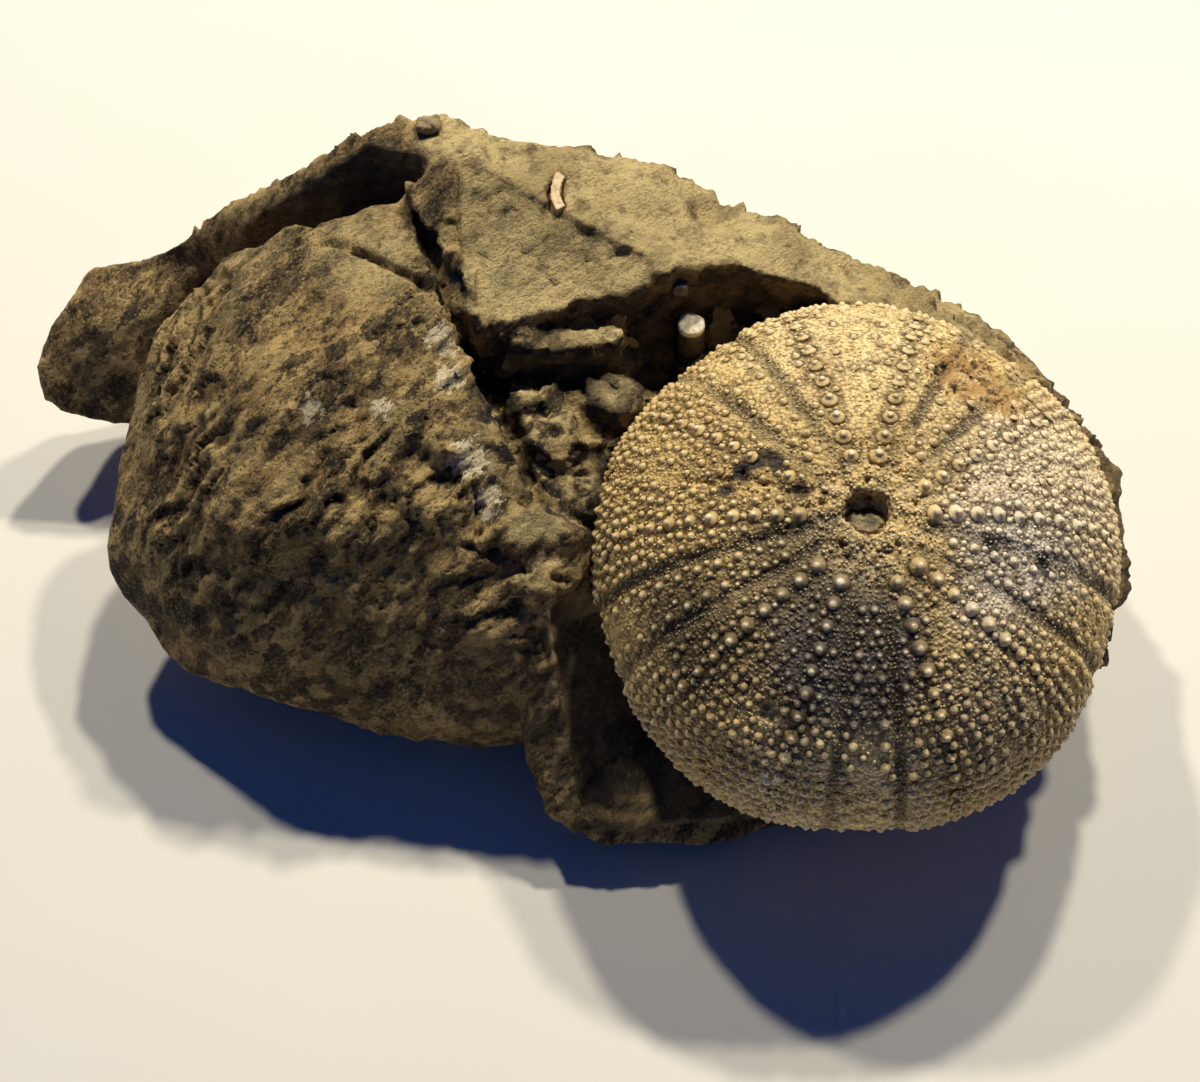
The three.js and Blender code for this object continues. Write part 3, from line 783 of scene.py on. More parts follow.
def rock_tree(cracks):
    """Pushes ledges, chips, lumps and cracks in and out of the lump, and stores masks for its material."""
    wired, geometry, end = geometry_tree("broken_mudstone")
    place = wired.scale(wired.add("GeometryNodeInputPosition").outputs[0], 1.0 / MM)
    facing = eased_normal(wired, 4)
    top, facet, hollow, scoop, recess, knob, lip, upward = rock_regions(wired, place, facing)
    across, _, high = wired.parts(place)
    _, backward, flat = wired.parts(facing)
    bent = wired.vector("ADD", along_ridges(wired, place, 2.6), wired.stray(place, 6.0, 1.0 / 9.0))
    calm = calm_places(wired, place, backward, top, scoop, recess, knob)
    rough = wired.times(wired.rest(calm), wired.span(high, 20.0, 38.0, 0.4, 1.0),
                        wired.rest(wired.times(hollow, 0.85)))
    uneven = wired.span(wired.noise(place, 1.0 / 17.0, 2.0).outputs[0], 0.35, 0.65, 0.45, 1.25)
    flakes = wired.total(ledges(wired, place, 5.2, 1.9, 1.6), ledges(wired, place, 2.3, 0.8, 1.9),
                         ridged(wired, bent, 6.5, 0.45), ridged(wired, bent, 2.7, 0.3),
                         wired.chips(bent, 4.0, 0.13))
    lumps = wired.rough(place, 14.0, 1.9, 1.0)
    shards = wired.total(wired.chips(place, 5.0, 0.24), wired.chips(place, 2.4, 0.14))
    waves = wired.total(wired.rough(place, 12.0, 1.1, 2.0), wired.rough(place, 3.6, 0.3, 3.0))
    steps = wired.total(wired.chips(place, 5.0, 0.1), wired.rough(place, 9.0, 0.5, 2.0))
    relief = wired.total(
        wired.times(wired.total(wired.times(flakes, wired.times(uneven, 0.72)), lumps), rough),
        wired.times(shards, hollow),
        wired.times(waves, wired.math("SUBTRACT", wired.most(calm, 0.3), facet)),
        wired.times(steps, facet),
    )
    texture = wired.total(wired.times(flakes, wired.times(uneven, rough)),
                          wired.times(shards, hollow), wired.times(lumps, 0.35))
    relief = wired.total(relief, wired.times(scoop, -1.5), wired.times(lip, 0.5))
    for centre, inner, outer, height in DENTS:
        relief = wired.total(relief, wired.times(wired.near(place, centre, inner, outer), height))
    wander = wired.math("ABSOLUTE", wired.rough(place, 3.0, 1.1))
    crack = wired.span(wired.math("ADD", distance_to(wired, cracks), wander), 0.2, 1.1, -1.7, 0.0)
    geometry = push_out(wired, geometry, wired.total(relief, crack), facing)
    fine = wired.total(wired.rough(place, 2.2, 0.3, 4.0, 0.6),
                       wired.times(ridged(wired, bent, 1.5, 0.16), rough))
    quiet = wired.rest(wired.times(wired.math("SUBTRACT", calm, facet), 0.55))
    grit = wired.times(fine, quiet)
    geometry = push_out(wired, geometry, grit)

    # Painted light: the up-facing tops of the lower ledges, up-facing flats in the hollow and strips along
    # the crest get the sandy colour of lit stone.
    lower_ledges = wired.most(wired.near(place, (-3.5, -11.5, 42.5), 3.0, 8.0),
                              wired.near(place, (-2.0, -16.5, 38.5), 3.0, 8.0),
                              wired.near(place, (9.0, 11.5, 46.5), 3.0, 6.0))
    ledge = wired.times(lower_ledges, wired.span(flat, 0.6, 0.85))
    lit = wired.times(hollow, wired.span(flat, 0.78, 0.92),
                      wired.span(wired.noise(place, 0.3, 5.0, 0.65).outputs[0], 0.47, 0.53))
    strip = wired.most(wired.near(place, (-52.0, 36.0, 51.0), 5.0, 15.0),
                       wired.near(place, (-30.0, 28.0, 59.0), 4.0, 13.0))
    lit = wired.most(lit, wired.times(strip, 0.7, upward))
    # Painted shade: the rest of the hollow takes the fresh colours, most where it does not face up.
    shaded = wired.times(hollow, wired.span(flat, 0.72, 0.92, 1.0, 0.6), wired.rest(lit))
    side = wired.times(wired.span(across, 72.0, 80.0), 0.6)
    rind = wired.times(wired.near(place, (-6.0, -26.0, 22.0), 8.0, 16.0), 0.5)
    fresh = wired.total(scoop, recess, shaded, side, rind)
    shards_seen = wired.times(wired.rest(wired.most(lit, ledge)), wired.span(flat, 0.15, 0.5, 0.25, 1.0))
    # The top mask also carries this painted light, and the mask of fresh stone carries the painted shade.
    masks = (
        ("relief", wired.total(texture, crack, wired.times(grit, 1.6))),
        ("top", wired.most(top, lit, ledge)),
        ("hollow", wired.times(hollow, shards_seen)),
        ("lip", lip),
        ("fresh", wired.math("MINIMUM", fresh, 1.0)),
        ("white", chalky_places(wired, place)),
    )
    for name, mask in masks:
        geometry = keep(wired, geometry, name, mask)
    wired.tree.links.new(geometry, end)
    return wired.tree


def thin_out(thing, most):
    """Takes triangles out where the surface is flattest until at most so many are left."""
    pick(thing)
    square = len(thing.data.loops) - 2 * len(thing.data.polygons)
    if square > most:
        thin = thing.modifiers.new("thin", "DECIMATE")
        thin.ratio = most / square
        apply_all(thing)
    return thing


class FOSSIL_OT_rock(bpy.types.Operator):
    """Break and weather the skin of the mudstone lump"""
    bl_idname = "fossil.rock"
    bl_label = "Mudstone Lump"

    def execute(self, context):
        sizes = context.scene.fossil_rock
        rock = cut_away(start_from("matrix_rock", "mudstone_lump"), facet_cutter())
        cut_away(rock, trench_cutter())
        join(rock, right_flank(), spur(), *ledge_blocks())
        remesh(rock, sizes.skin, 1)
        cracks = line_mesh("crack_lines", CRACKS)
        work(rock, rock_tree(cracks))
        discard(cracks)
        thin_out(rock, ROCK_TRIANGLES)
        hand_in(rock, rock_material(), "mudstone", "matrix_rock")
        return {"FINISHED"}


# ---- the test ---------------------------------------------------------------

def profile_point(angle):
    """Radius and height of the dome's outline in millimetres, from its top at 0 to its underside at pi."""
    across = math.sin(angle)
    along = math.cos(angle)
    height = TEST_RISE if along > 0 else TEST_DROP
    radius = TEST_RADIUS * across ** (2 / DOME_POWER)
    return radius, math.copysign(height * abs(along) ** (2 / DOME_POWER), along)


def profile_table(steps=600):
    """The outline as a list of (distance from the top, radius, height)."""
    table = [(0.0, 0.0, TEST_RISE)]
    for i in range(1, steps):
        radius, height = profile_point(math.pi * i / steps)
        run, last_radius, last_height = table[-1]
        table.append((run + math.hypot(radius - last_radius, height - last_height), radius, height))
    return table


def along_profile(table, run):
    for low, high in zip(table, table[1:]):
        if high[0] >= run:
            part = (run - low[0]) / (high[0] - low[0])
            return low[1] + part * (high[1] - low[1]), low[2] + part * (high[2] - low[2])
    return table[-1][1], table[-1][2]


def ray_half_width(radius):
    """Half the width of a pore-bearing ray, in millimetres, at a distance from the axis."""
    return RAY_START + RAY_SPREAD * (min(radius, TEST_RADIUS) / TEST_RADIUS) ** RAY_CURVE


def on_test(radius, height, turn):
    """Where a point of the smooth dome, given in the test's own axes, lies in the object's frame."""
    swell = 1 - RAY_RELIEF * math.cos(RAYS * (turn - FIRST_RAY))
    spot = Vector((radius * math.cos(turn) * swell, radius * math.sin(turn) * swell * LENGTH_RATIO, height))
    spot.rotate(TEST_TURN)
    return TEST_CENTRE + spot * MM


# Worn and broken places on the test: centre, full reach, fading reach and height, in millimetres.
TEST_DENTS = [
    ((26.4, -10.2, 57.4), 0.1, 1.1, -1.1),
    ((28.4, -8.8, 57.9), 0.0, 0.9, -1.0),
    ((30.4, -8.4, 58.4), 0.1, 1.2, -1.2),
    ((31.8, -9.6, 58.4), 0.0, 0.9, -1.0),
    ((34.6, -14.0, 58.7), 0.0, 0.9, -0.9),
    ((24.0, -12.6, 56.6), 0.0, 0.8, -0.9),
    ((57.0, -26.5, 56.0), 0.0, 0.9, -0.9),
    ((62.0, -21.0, 55.5), 0.0, 0.8, -0.8),
    ((29.8, -43.4, 45.0), 0.9, 1.6, -0.7),
    ((29.8, -43.4, 45.4), 0.0, 0.6, 0.5),
    ((70.1, -22.6, 52.1), 0.3, 1.0, -0.8),
    ((60.5, 7.5, 56.8), 1.0, 6.0, -0.6),
]
# The pores of the genital plates round the top.
GONOPORES = [(44.4, -12.6, 59.6), (51.1, -16.3, 58.9), (48.4, -22.2, 57.5), (40.6, -22.3, 57.4),
             (37.6, -16.0, 58.8)]
OPENING_MIDDLE = Vector((44.4, -17.8, 58.6))
# A dent deeper than this is also coloured dark.
DARK_DEPTH = -0.7
TEST_CRACKS = [
    [(18.5, -10.0, 54.6), (22.5, -11.4, 56.2), (26, -11.0, 57.4), (30, -12.6, 58.2), (33, -14.2, 58.6),
     (36.5, -14.0, 58.9), (40.5, -15.6, 59.0)],
    [(60.5, 9.5, 56.6), (63.5, 6.0, 56.4), (67.0, 3.0, 55.8)],
]


def opening_shift(wired, place, world):
    """How the skin round the opening moves: with the opening, and outward to uneven corners."""
    top = Vector((0, 0, TEST_RISE * MM))
    top.rotate(TEST_TURN)
    centre = tuple((TEST_CENTRE + top) / MM)
    pull = wired.near(world, centre, 4.5, 12.0)
    shift = wired.scale(tuple(Vector(OPENING_SHIFT) * MM), pull)
    from_hole = wired.vector("SUBTRACT", place, tuple(TEST_CENTRE + top))
    sideways = wired.vector("NORMALIZE", wired.vector("MULTIPLY", from_hole, (1.0, 1.0, 0.0)))
    corners = wired.total(0.5, wired.rough(world, 2.8, 0.8, 2.0))
    flare = wired.times(wired.near(world, centre, 3.6, 7.0), corners, MM)
    return wired.vector("ADD", shift, wired.scale(sideways, flare))


def ray_measures(wired, local):
    """Each point's distance from the axis, from its ray's edge inward, and from the seam between rays."""
    sideways, forward, rise = wired.parts(local)
    flat_y = wired.math("DIVIDE", forward, LENGTH_RATIO)
    radius = wired.math("SQRT", wired.total(wired.times(sideways, sideways), wired.times(flat_y, flat_y)))
    turn = wired.math("SUBTRACT", wired.math("ARCTAN2", flat_y, sideways), FIRST_RAY)
    share = wired.math("FRACT", wired.math("ADD", wired.math("DIVIDE", turn, RAY_STEP), 0.5))
    off_ray = wired.times(wired.math("ABSOLUTE", wired.math("SUBTRACT", share, 0.5)), RAY_STEP)
    part = wired.math("POWER", wired.math("DIVIDE", radius, TEST_RADIUS), RAY_CURVE)
    width = wired.math("ADD", wired.times(part, RAY_SPREAD), RAY_START)
    inside = wired.math("SUBTRACT", width, wired.times(off_ray, radius))
    zigzag = wired.math("PINGPONG", wired.total(rise, radius), 1.7)
    seam = wired.times(wired.math("SUBTRACT", math.pi / RAYS, off_ray), radius)
    seam = wired.math("ABSOLUTE", wired.math("SUBTRACT", seam, wired.times(zigzag, 0.55)))
    return radius, inside, seam


def test_tree(cracks):
    """Gives the test its rays, seams, worn places and cracks, and stores masks for its material."""
    wired, geometry, end = geometry_tree("urchin_plates")
    place = wired.add("GeometryNodeInputPosition").outputs[0]
    world = wired.scale(place, 1.0 / MM)
    shift = opening_shift(wired, place, world)
    geometry = wired.add("GeometryNodeSetPosition", {"Geometry": geometry, "Offset": shift}).outputs[0]
    moved = wired.vector("SUBTRACT", place, tuple(TEST_CENTRE))
    inputs = {"Vector": moved, "Rotation": tuple(TEST_TURN)}
    local = wired.add("ShaderNodeVectorRotate", inputs, rotation_type="EULER_XYZ", invert=True).outputs[0]
    local = wired.scale(local, 1.0 / MM)
    radius, inside, seam = ray_measures(wired, local)
    wobble = wired.rough(local, 3.0, 0.6)
    off_band = wired.math("ABSOLUTE", wired.math("SUBTRACT", inside, PORE_BAND / 2))
    past_disc = wired.span(radius, DISC_RADIUS - 2.5, DISC_RADIUS + 0.5)
    strength = wired.span(wired.noise(local, 1.0 / 15.0, 2.0).outputs[0], 0.35, 0.6, 0.35, 1.0)
    band = wired.times(wired.span(wired.math("ADD", off_band, wobble), 0.5, 1.4, 1.0, 0.0), past_disc)
    ray = wired.times(wired.span(inside, -0.6, 1.2), past_disc)
    seam = wired.times(wired.span(seam, 0.1, 0.6, -0.22, 0.0), past_disc)
    skin = wired.total(wired.rough(local, 1.3, 0.2, 4.0, 0.65), wired.rough(local, 9.0, 0.55, 2.0))
    disc = wired.span(radius, 8.5, 10.5, 1.0, 0.0)
    plates = wired.total(wired.rough(local, 2.6, 0.8, 3.0), wired.rough(local, 1.1, 0.5, 3.0))
    plates = wired.times(plates, disc)
    height = wired.total(skin, seam, plates, wired.times(band, wired.rough(local, 0.9, 0.35, 2.0)),
                         wired.times(band, strength, -0.4), wired.times(ray, -0.22))
    dark = 0.0
    ragged = wired.vector("ADD", world, wired.stray(world, 2.6, 0.8, 3.0))
    for centre, inner, outer, amount in TEST_DENTS:
        height = wired.total(height, wired.times(wired.near(ragged, centre, inner, outer), amount))
        if amount < DARK_DEPTH:
            dark = wired.total(dark, wired.near(ragged, centre, inner + 0.9, outer + 1.2))
    for centre in GONOPORES:
        out = Vector(centre) - OPENING_MIDDLE
        plate = tuple(Vector(centre) - 0.15 * out)
        height = wired.total(height, wired.times(wired.near(world, plate, 0.8, 2.7), 0.5))
        mask = wired.near(world, centre, 0.35, 0.85)
        height = wired.total(height, wired.times(mask, -1.3))
        dark = wired.total(dark, mask)
    crack = wired.math("ADD", distance_to(wired, cracks), wired.math("ABSOLUTE", wobble))
    crack = wired.span(crack, 0.2, 0.8, 1.0, 0.0)
    height = wired.total(height, wired.times(crack, -0.7))
    rust = wired.most(wired.near(ragged, (60.0, 8.0, 56.8), 4.0, 8.5),
                      wired.near(ragged, (66.0, 3.0, 55.5), 2.0, 5.5))
    rust = wired.times(rust, wired.span(wired.noise(world, 0.45, 4.0, 0.6).outputs[0], 0.36, 0.5))
    pitted = wired.times(wired.span(wired.noise(world, 0.8, 3.0, 0.6).outputs[0], 0.52, 0.58), rust)
    height = wired.total(height, wired.times(pitted, -1.6), wired.times(rust, wired.rough(world, 1.6, 1.1)))
    geometry = push_out(wired, geometry, height, eased_normal(wired, 2))
    masks = (
        ("pores", wired.times(band, strength)),
        ("tip", 0.0),
        ("glow", 0.0),
        ("rust", rust),
        ("disc", wired.span(radius, 6.5, 11.5, 1.0, 0.0)),
        ("dirt", wired.math("MINIMUM", wired.total(dark, crack, pitted), 1.0)),
    )
    for name, mask in masks:
        geometry = keep(wired, geometry, name, mask)
    wired.tree.links.new(geometry, end)
    return wired.tree


class FOSSIL_OT_test(bpy.types.Operator):
    """Model the bare test of the sea urchin, with its rays and plate seams"""
    bl_idname = "fossil.test"
    bl_label = "Urchin Test"

    def execute(self, context):
        sizes = context.scene.fossil_urchin
        test = remesh(start_from("urchin_test", "test_shell"), sizes.skin, 3)
        cracks = line_mesh("test_crack_lines", TEST_CRACKS)
        work(test, test_tree(cracks))
        discard(cracks)
        calcite = test_material("test_calcite", tuple(sizes.crown), tuple(sizes.bed))
        hand_in(test, calcite, "urchin_calcite", "urchin_test")
        return {"FINISHED"}


def turned(name, profile, sides):
    """A small knob: a disc extruded ring by ring up a profile of (radius, height), with a closed top."""
    object_mode()
    bpy.ops.object.select_all(action="DESELECT")
    first = profile[0]
    bpy.ops.mesh.primitive_circle_add(vertices=sides, radius=first[0], fill_type="NGON",
                                      location=(0, 0, first[1]))
    knob = bpy.context.object
    knob.name = name
    bpy.ops.object.transform_apply(location=True)
    bpy.ops.object.mode_set(mode="EDIT")
    bpy.ops.mesh.select_all(action="SELECT")
    for (last_radius, last_height), (radius, height) in zip(profile, profile[1:]):
        bpy.ops.mesh.extrude_region_move(TRANSFORM_OT_translate={"value": (0, 0, height - last_height)})
        factor = radius / last_radius
        bpy.ops.transform.resize(value=(factor, factor, 1), center_override=(0, 0, height))
    bpy.ops.mesh.select_all(action="SELECT")
    bpy.ops.mesh.normals_make_consistent(inside=False)
    bpy.ops.object.mode_set(mode="OBJECT")
    tips = knob.data.attributes.new("tip", "FLOAT", "POINT")
    top = max(height for _, height in profile)
    for vertex in knob.data.vertices:
        tips.data[vertex.index].value = max(0.0, vertex.co.z / top)
    return knob


# In front of this the knobs are duller.
DULL_FRONT = -39.0


class Knobs:
    """Places for many knobs of one shape, set down on the test's surface."""

    def __init__(self, surface):
        self.surface = surface
        self.places = []
        self.normals = []
        self.sizes = []
        self.pores = []
        self.glow = []

    def put(self, place, size, glow, pores=0.0):
        spot, normal, _, _ = self.surface.find_nearest(place)
        if any((spot / MM - Vector(centre)).length < reach for centre, reach in BARE):
            return
        normal = (normal + (spot - TEST_CENTRE).normalized()).normalized()
        if spot.y < DULL_FRONT * MM:
            glow *= 0.5
        self.places.append(spot)
        self.normals.append(normal)
        self.sizes.append(size * MM)
        self.pores.append(pores)
        self.glow.append(glow)

    def mesh(self, name):
        mesh = bpy.data.meshes.new(name)
        mesh.from_pydata(self.places, [], [])
        facing = mesh.attributes.new("facing", "FLOAT_VECTOR", "POINT")
        facing.data.foreach_set("vector", [part for normal in self.normals for part in normal])
        shades = [(7919 * i % 1009) / 1008 for i in range(len(self.places))]
        for label, values in (("size", self.sizes), ("pores", self.pores), ("glow", self.glow),
                              ("shade", shades)):
            mesh.attributes.new(label, "FLOAT", "POINT").data.foreach_set("value", values)
        return put_in_scene(name, mesh)


def named(wired, name, kind="FLOAT"):
    made = wired.add("GeometryNodeInputNamedAttribute", {"Name": name}, data_type=kind)
    return made.outputs["Attribute"]


def set_down_tree(knob):
    """Sets a copy of a knob on each point, facing out, and joins them in one mesh."""
    wired, geometry, end = geometry_tree("set_down_" + knob.name)
    shape = wired.add("GeometryNodeObjectInfo", {"Object": knob}).outputs["Geometry"]
    inputs = {"Vector": named(wired, "facing", "FLOAT_VECTOR")}
    facing = wired.add("FunctionNodeAlignRotationToVector", inputs, axis="Z").outputs[0]
    points = wired.add("GeometryNodeMeshToPoints", {"Mesh": geometry}).outputs[0]
    inputs = {"Points": points, "Instance": shape, "Rotation": facing, "Scale": named(wired, "size")}
    copies = wired.add("GeometryNodeInstanceOnPoints", inputs).outputs[0]
    wired.tree.links.new(wired.add("GeometryNodeRealizeInstances", {0: copies}).outputs[0], end)
    return wired.tree


# Places where the test is bare: centre and reach in millimetres.
BARE = [
    ((26.4, -10.2, 57.4), 1.5), ((30.4, -8.4, 58.4), 1.6), ((34.6, -14.0, 58.7), 1.2),
    ((24.0, -12.6, 56.6), 1.1), ((29.8, -43.4, 45.4), 2.1), ((61.0, 7.5, 56.8), 6.0),
    ((65.0, 3.5, 55.8), 4.0), ((70.1, -22.6, 52.1), 1.0),
]


def lay_out_knobs(surface, settings):
    """Works out where the large, middling and small knobs of the test stand."""
    chance = random.Random(settings.seed)
    table = profile_table()
    large, middling, grains, lining = Knobs(surface), Knobs(surface), Knobs(surface), Knobs(surface)

    def jitter(amount):
        return chance.uniform(-amount, amount)

    def worn(place):
        """Chance that a knob is worn away: high on the smooth upper side."""
        away = (place / MM - Vector((45.0, 9.0, 57.5))).length
        return 0.55 * max(0.0, min(1.0, (24.0 - away) / 8.0))

    def row_of(run):
        radius, height = along_profile(table, run)
        return radius, height, ray_half_width(radius)

    def both_sides(radius, height, offsets):
        """Every place at these distances from the middle of each ray, on both of its sides."""
        for ray in range(RAYS):
            for side in (-1, 1):
                for offset in offsets():
                    turn = FIRST_RAY + ray * RAY_STEP + side * offset / radius
                    yield offset, on_test(radius, height + jitter(0.12), turn)

    run = DISC_RADIUS + 1.2
    while run < settings.last_row:
        radius, height, width = row_of(run)
        plate = 3.1 + 0.4 * min(1.0, run / 45.0)
        fade = min(1.0, max(0.0, (run - 10.0) / 34.0))
        gap = 2.25 - 0.3 * fade
        reach = radius * math.pi / RAYS - width
        main = width + 0.42 * reach

        def full_row():
            step = -int((main - width - 0.9) / gap)
            while main + step * gap < width + reach - 0.55:
                yield main + step * gap + (jitter(0.22) if step else jitter(0.1))
                step += 1

        for offset, place in both_sides(radius, height, full_row):
            if abs(offset - main) < 0.15:
                large.put(place, (1.12 - 0.42 * fade) * chance.uniform(0.85, 1.1), chance.uniform(0.7, 1.0))
            elif chance.random() > 0.22 * (1 - fade) + worn(place):
                middling.put(place, chance.uniform(0.42, 0.62) + 0.12 * fade, chance.uniform(0.2, 1.0))
        inner = width - PORE_BAND
        if inner > 1.0:
            for offset, place in both_sides(radius, height, lambda: (inner * 0.66 + jitter(0.1),)):
                middling.put(place, chance.uniform(0.52, 0.72) + 0.06 * fade, chance.uniform(0.3, 1.0))

        radius, height, width = row_of(run + plate / 2)
        reach = radius * math.pi / RAYS - width

        def half_row():
            offset = width + 0.7 + chance.uniform(0, 0.5)
            while offset < width + reach - 0.4:
                yield offset
                offset += gap * chance.uniform(0.85, 1.1)

        for offset, place in both_sides(radius, height, half_row):
            if chance.random() > 0.2 * (1 - fade) + worn(place):
                middling.put(place, chance.uniform(0.34, 0.54) + 0.18 * fade, chance.uniform(0.1, 0.8))
        inner = width - PORE_BAND
        if inner > 1.6:
            for offset, place in both_sides(radius, height,
                                            lambda: (inner * 0.22 + jitter(0.1), inner * 0.95)):
                if chance.random() > 0.25 + worn(place):
                    middling.put(place, chance.uniform(0.34, 0.5) + 0.08 * fade, chance.uniform(0.1, 0.8))
        run += plate

    run = DISC_RADIUS - 0.6
    while run < settings.last_row:
        radius, height, width = row_of(run)
        reach = radius * math.pi / RAYS - width

        def lanes():
            for lane in (0.3, 0.85, 1.4):
                if chance.random() > 0.3:
                    yield width - lane + jitter(0.34)

        def scatter():
            for _ in range(max(1, round(reach / 1.2))):
                yield width + chance.uniform(0.2, reach)
            if width > PORE_BAND + 0.5:
                yield chance.uniform(0.0, width - PORE_BAND)

        for offset, place in both_sides(radius, height, lanes):
            lining.put(place, chance.uniform(0.15, 0.27), 0.3, chance.uniform(0.3, 0.8))
        for offset, place in both_sides(radius, height, scatter):
            grains.put(place, chance.uniform(0.15, 0.32), chance.uniform(0.0, 0.4))
        run += 0.75

    for _ in range(DISC_GRAINS):
        reach = chance.uniform(3.9, DISC_RADIUS + 0.4)
        turn = chance.uniform(0, 2 * math.pi)
        place = on_test(reach, TEST_RISE, turn) + Vector(OPENING_SHIFT) * MM
        grains.put(place, chance.uniform(0.16, 0.42), chance.uniform(0.1, 0.6))
    return large, middling, grains, lining


def around_tree(large, middling):
    """Marks how near each point of the test is to the foot of a knob, where painted shade and grime darken
    it.
    """
    wired, geometry, end = geometry_tree("shade_and_grime_round_knobs")
    wide = wired.span(distance_to(wired, large, "POINTS"), 1.1, 2.4, 1.0, 0.0)
    small = wired.span(distance_to(wired, middling, "POINTS"), 0.5, 1.25, 1.0, 0.0)
    geometry = keep(wired, geometry, "around", wired.most(wide, small))
    wired.tree.links.new(geometry, end)
    return wired.tree


class FOSSIL_OT_knobs(bpy.types.Operator):
    """Set the tubercles and granules on the test in their rows"""
    bl_idname = "fossil.knobs"
    bl_label = "Tubercles"

    def execute(self, context):
        settings = context.scene.fossil_urchin
        shell = bpy.data.objects["test_shell"]
        surface = BVHTree.FromObject(shell, context.evaluated_depsgraph_get())
        large, middling, grains, lining = lay_out_knobs(surface, settings)
        grain_profile = [(1.1, -0.4), (0.64, 0.6)]
        kinds = (
            ("large_tubercles", large, 9,
             [(1.35, -0.3), (1.28, 0.02), (1.0, 0.2), (0.76, 0.45), (0.54, 0.58), (0.55, 0.78), (0.4, 0.98),
              (0.14, 1.05)]),
            ("middling_tubercles", middling, 7,
             [(1.3, -0.3), (1.15, 0.06), (0.82, 0.4), (0.6, 0.66), (0.26, 0.9)]),
            ("granules", grains, 5, grain_profile),
            ("pore_granules", lining, 5, grain_profile),
        )
        feet = [large.mesh("large_feet"), middling.mesh("middling_feet")]
        work(shell, around_tree(*feet))
        for marker in feet:
            discard(marker)
        for name, knobs, sides, profile in kinds:
            knob = turned(name + "_shape", profile, sides)
            pieces = knobs.mesh(name)
            work(pieces, set_down_tree(knob))
            discard(knob)
            hand_in(pieces, bpy.data.materials["test_calcite"], "urchin_calcite")
        return {"FINISHED"}


# ---- the small pieces -------------------------------------------------------

def chip_tree(name, coarse, fine, lean=0.0, swell=0.0):
    """Wears a small piece. Lean tips it down towards the back, and swell thickens it all over."""
    wired, geometry, end = geometry_tree(name)
    spot = wired.add("GeometryNodeInputPosition").outputs[0]
    place = wired.scale(spot, 1.0 / MM)
    worn = wired.total(wired.rough(place, 1.8, coarse, 2.0), wired.rough(place, 0.6, fine, 3.0, 0.65), swell)
    geometry = push_out(wired, geometry, worn, eased_normal(wired, 2))
    if lean:
        _, back, _ = wired.parts(place)
        fall = wired.times(wired.math("SUBTRACT", back, -17.0), -lean * MM)
        drop = wired.add("ShaderNodeCombineXYZ", {2: fall}).outputs[0]
        geometry = wired.add("GeometryNodeSetPosition", {"Geometry": geometry, "Offset": drop}).outputs[0]
    wired.tree.links.new(geometry, end)
    return wired.tree


def stub_material():
    """A broken spine: pale grainy end, brightened as painted light, and dark brown side."""
    material, wired, shader, place = new_material("spine_calcite")
    stone = grain(wired, place, (1.0, 0.87, 0.55), (0.85, 0.70, 0.40), (0.35, 0.25, 0.12), 2.0, 0.3)
    _, _, high = wired.parts(place)
    # The end is given bright pale colours as painted light, where the crest behind shades it.
    upper = wired.span(high, 47.1, 47.6)
    rim = wired.vector("DISTANCE", wired.vector("MULTIPLY", place, (1.0, 1.0, 0.0)), (19.8, 22.1, 0.0))
    ring = wired.times(wired.span(rim, 1.1, 1.6), wired.span(rim, 1.9, 1.7))
    color = wired.tint(wired.times(ring, 0.6), stone["Color"], (0.85, 0.78, 0.6, 1.0))
    color = wired.tint(upper, (0.07, 0.05, 0.032, 1.0), color)
    wired.tree.links.new(color, shader.inputs["Base Color"])
    shader.inputs["Roughness"].default_value = 0.45
    bump(wired, shader, stone["Height"], 0.7, 0.2)
    return material


def sediment_material():
    """Grainy filling of the opening, dark towards the back as a painted shadow of the opening's rim."""
    material, wired, shader, place = new_material("opening_sediment")
    stone = grain(wired, place, (0.34, 0.26, 0.13), (0.12, 0.095, 0.055), (0.02, 0.018, 0.015), 2.0, 0.3)
    _, back, _ = wired.parts(place)
    # Painted shadow: the back of the filling, under the rim, goes near black.
    color = wired.tint(wired.span(back, -17.6, -14.6, 0.0, 0.92), stone["Color"], (0.02, 0.018, 0.018, 1.0))
    wired.tree.links.new(color, shader.inputs["Base Color"])
    shader.inputs["Roughness"].default_value = 0.8
    bump(wired, shader, stone["Height"], 1.0, 0.4)
    return material


# Small stones: CAD node, piece, skin size, easing steps, coarse and fine wear, slot and material, then the
# light, middle and dark colours, patch size, grit size and roughness.
SMALL_STONES = [
    ("shell_sliver", "shell_piece", 0.14, 2, 0.35, 0.12, "pale_calcite", "sliver_calcite",
     ((0.70, 0.52, 0.28), (0.56, 0.37, 0.17), (0.3, 0.17, 0.07), 3.0, 0.3, 0.5)),
    ("grey_clast", "grey_pebble", 0.16, 1, 0.35, 0.15, "grey_stone", "grey_pebble_stone",
     ((0.17, 0.135, 0.085), (0.10, 0.08, 0.052), (0.03, 0.024, 0.018), 3.0, 0.35, 0.7)),
    ("crest_pebble", "crest_stone", 0.2, 6, 0.8, 0.3, "mudstone", "crest_pebble_stone",
     ((0.42, 0.31, 0.15), (0.24, 0.17, 0.08), (0.06, 0.042, 0.024), 3.0, 0.35, 0.75)),
]


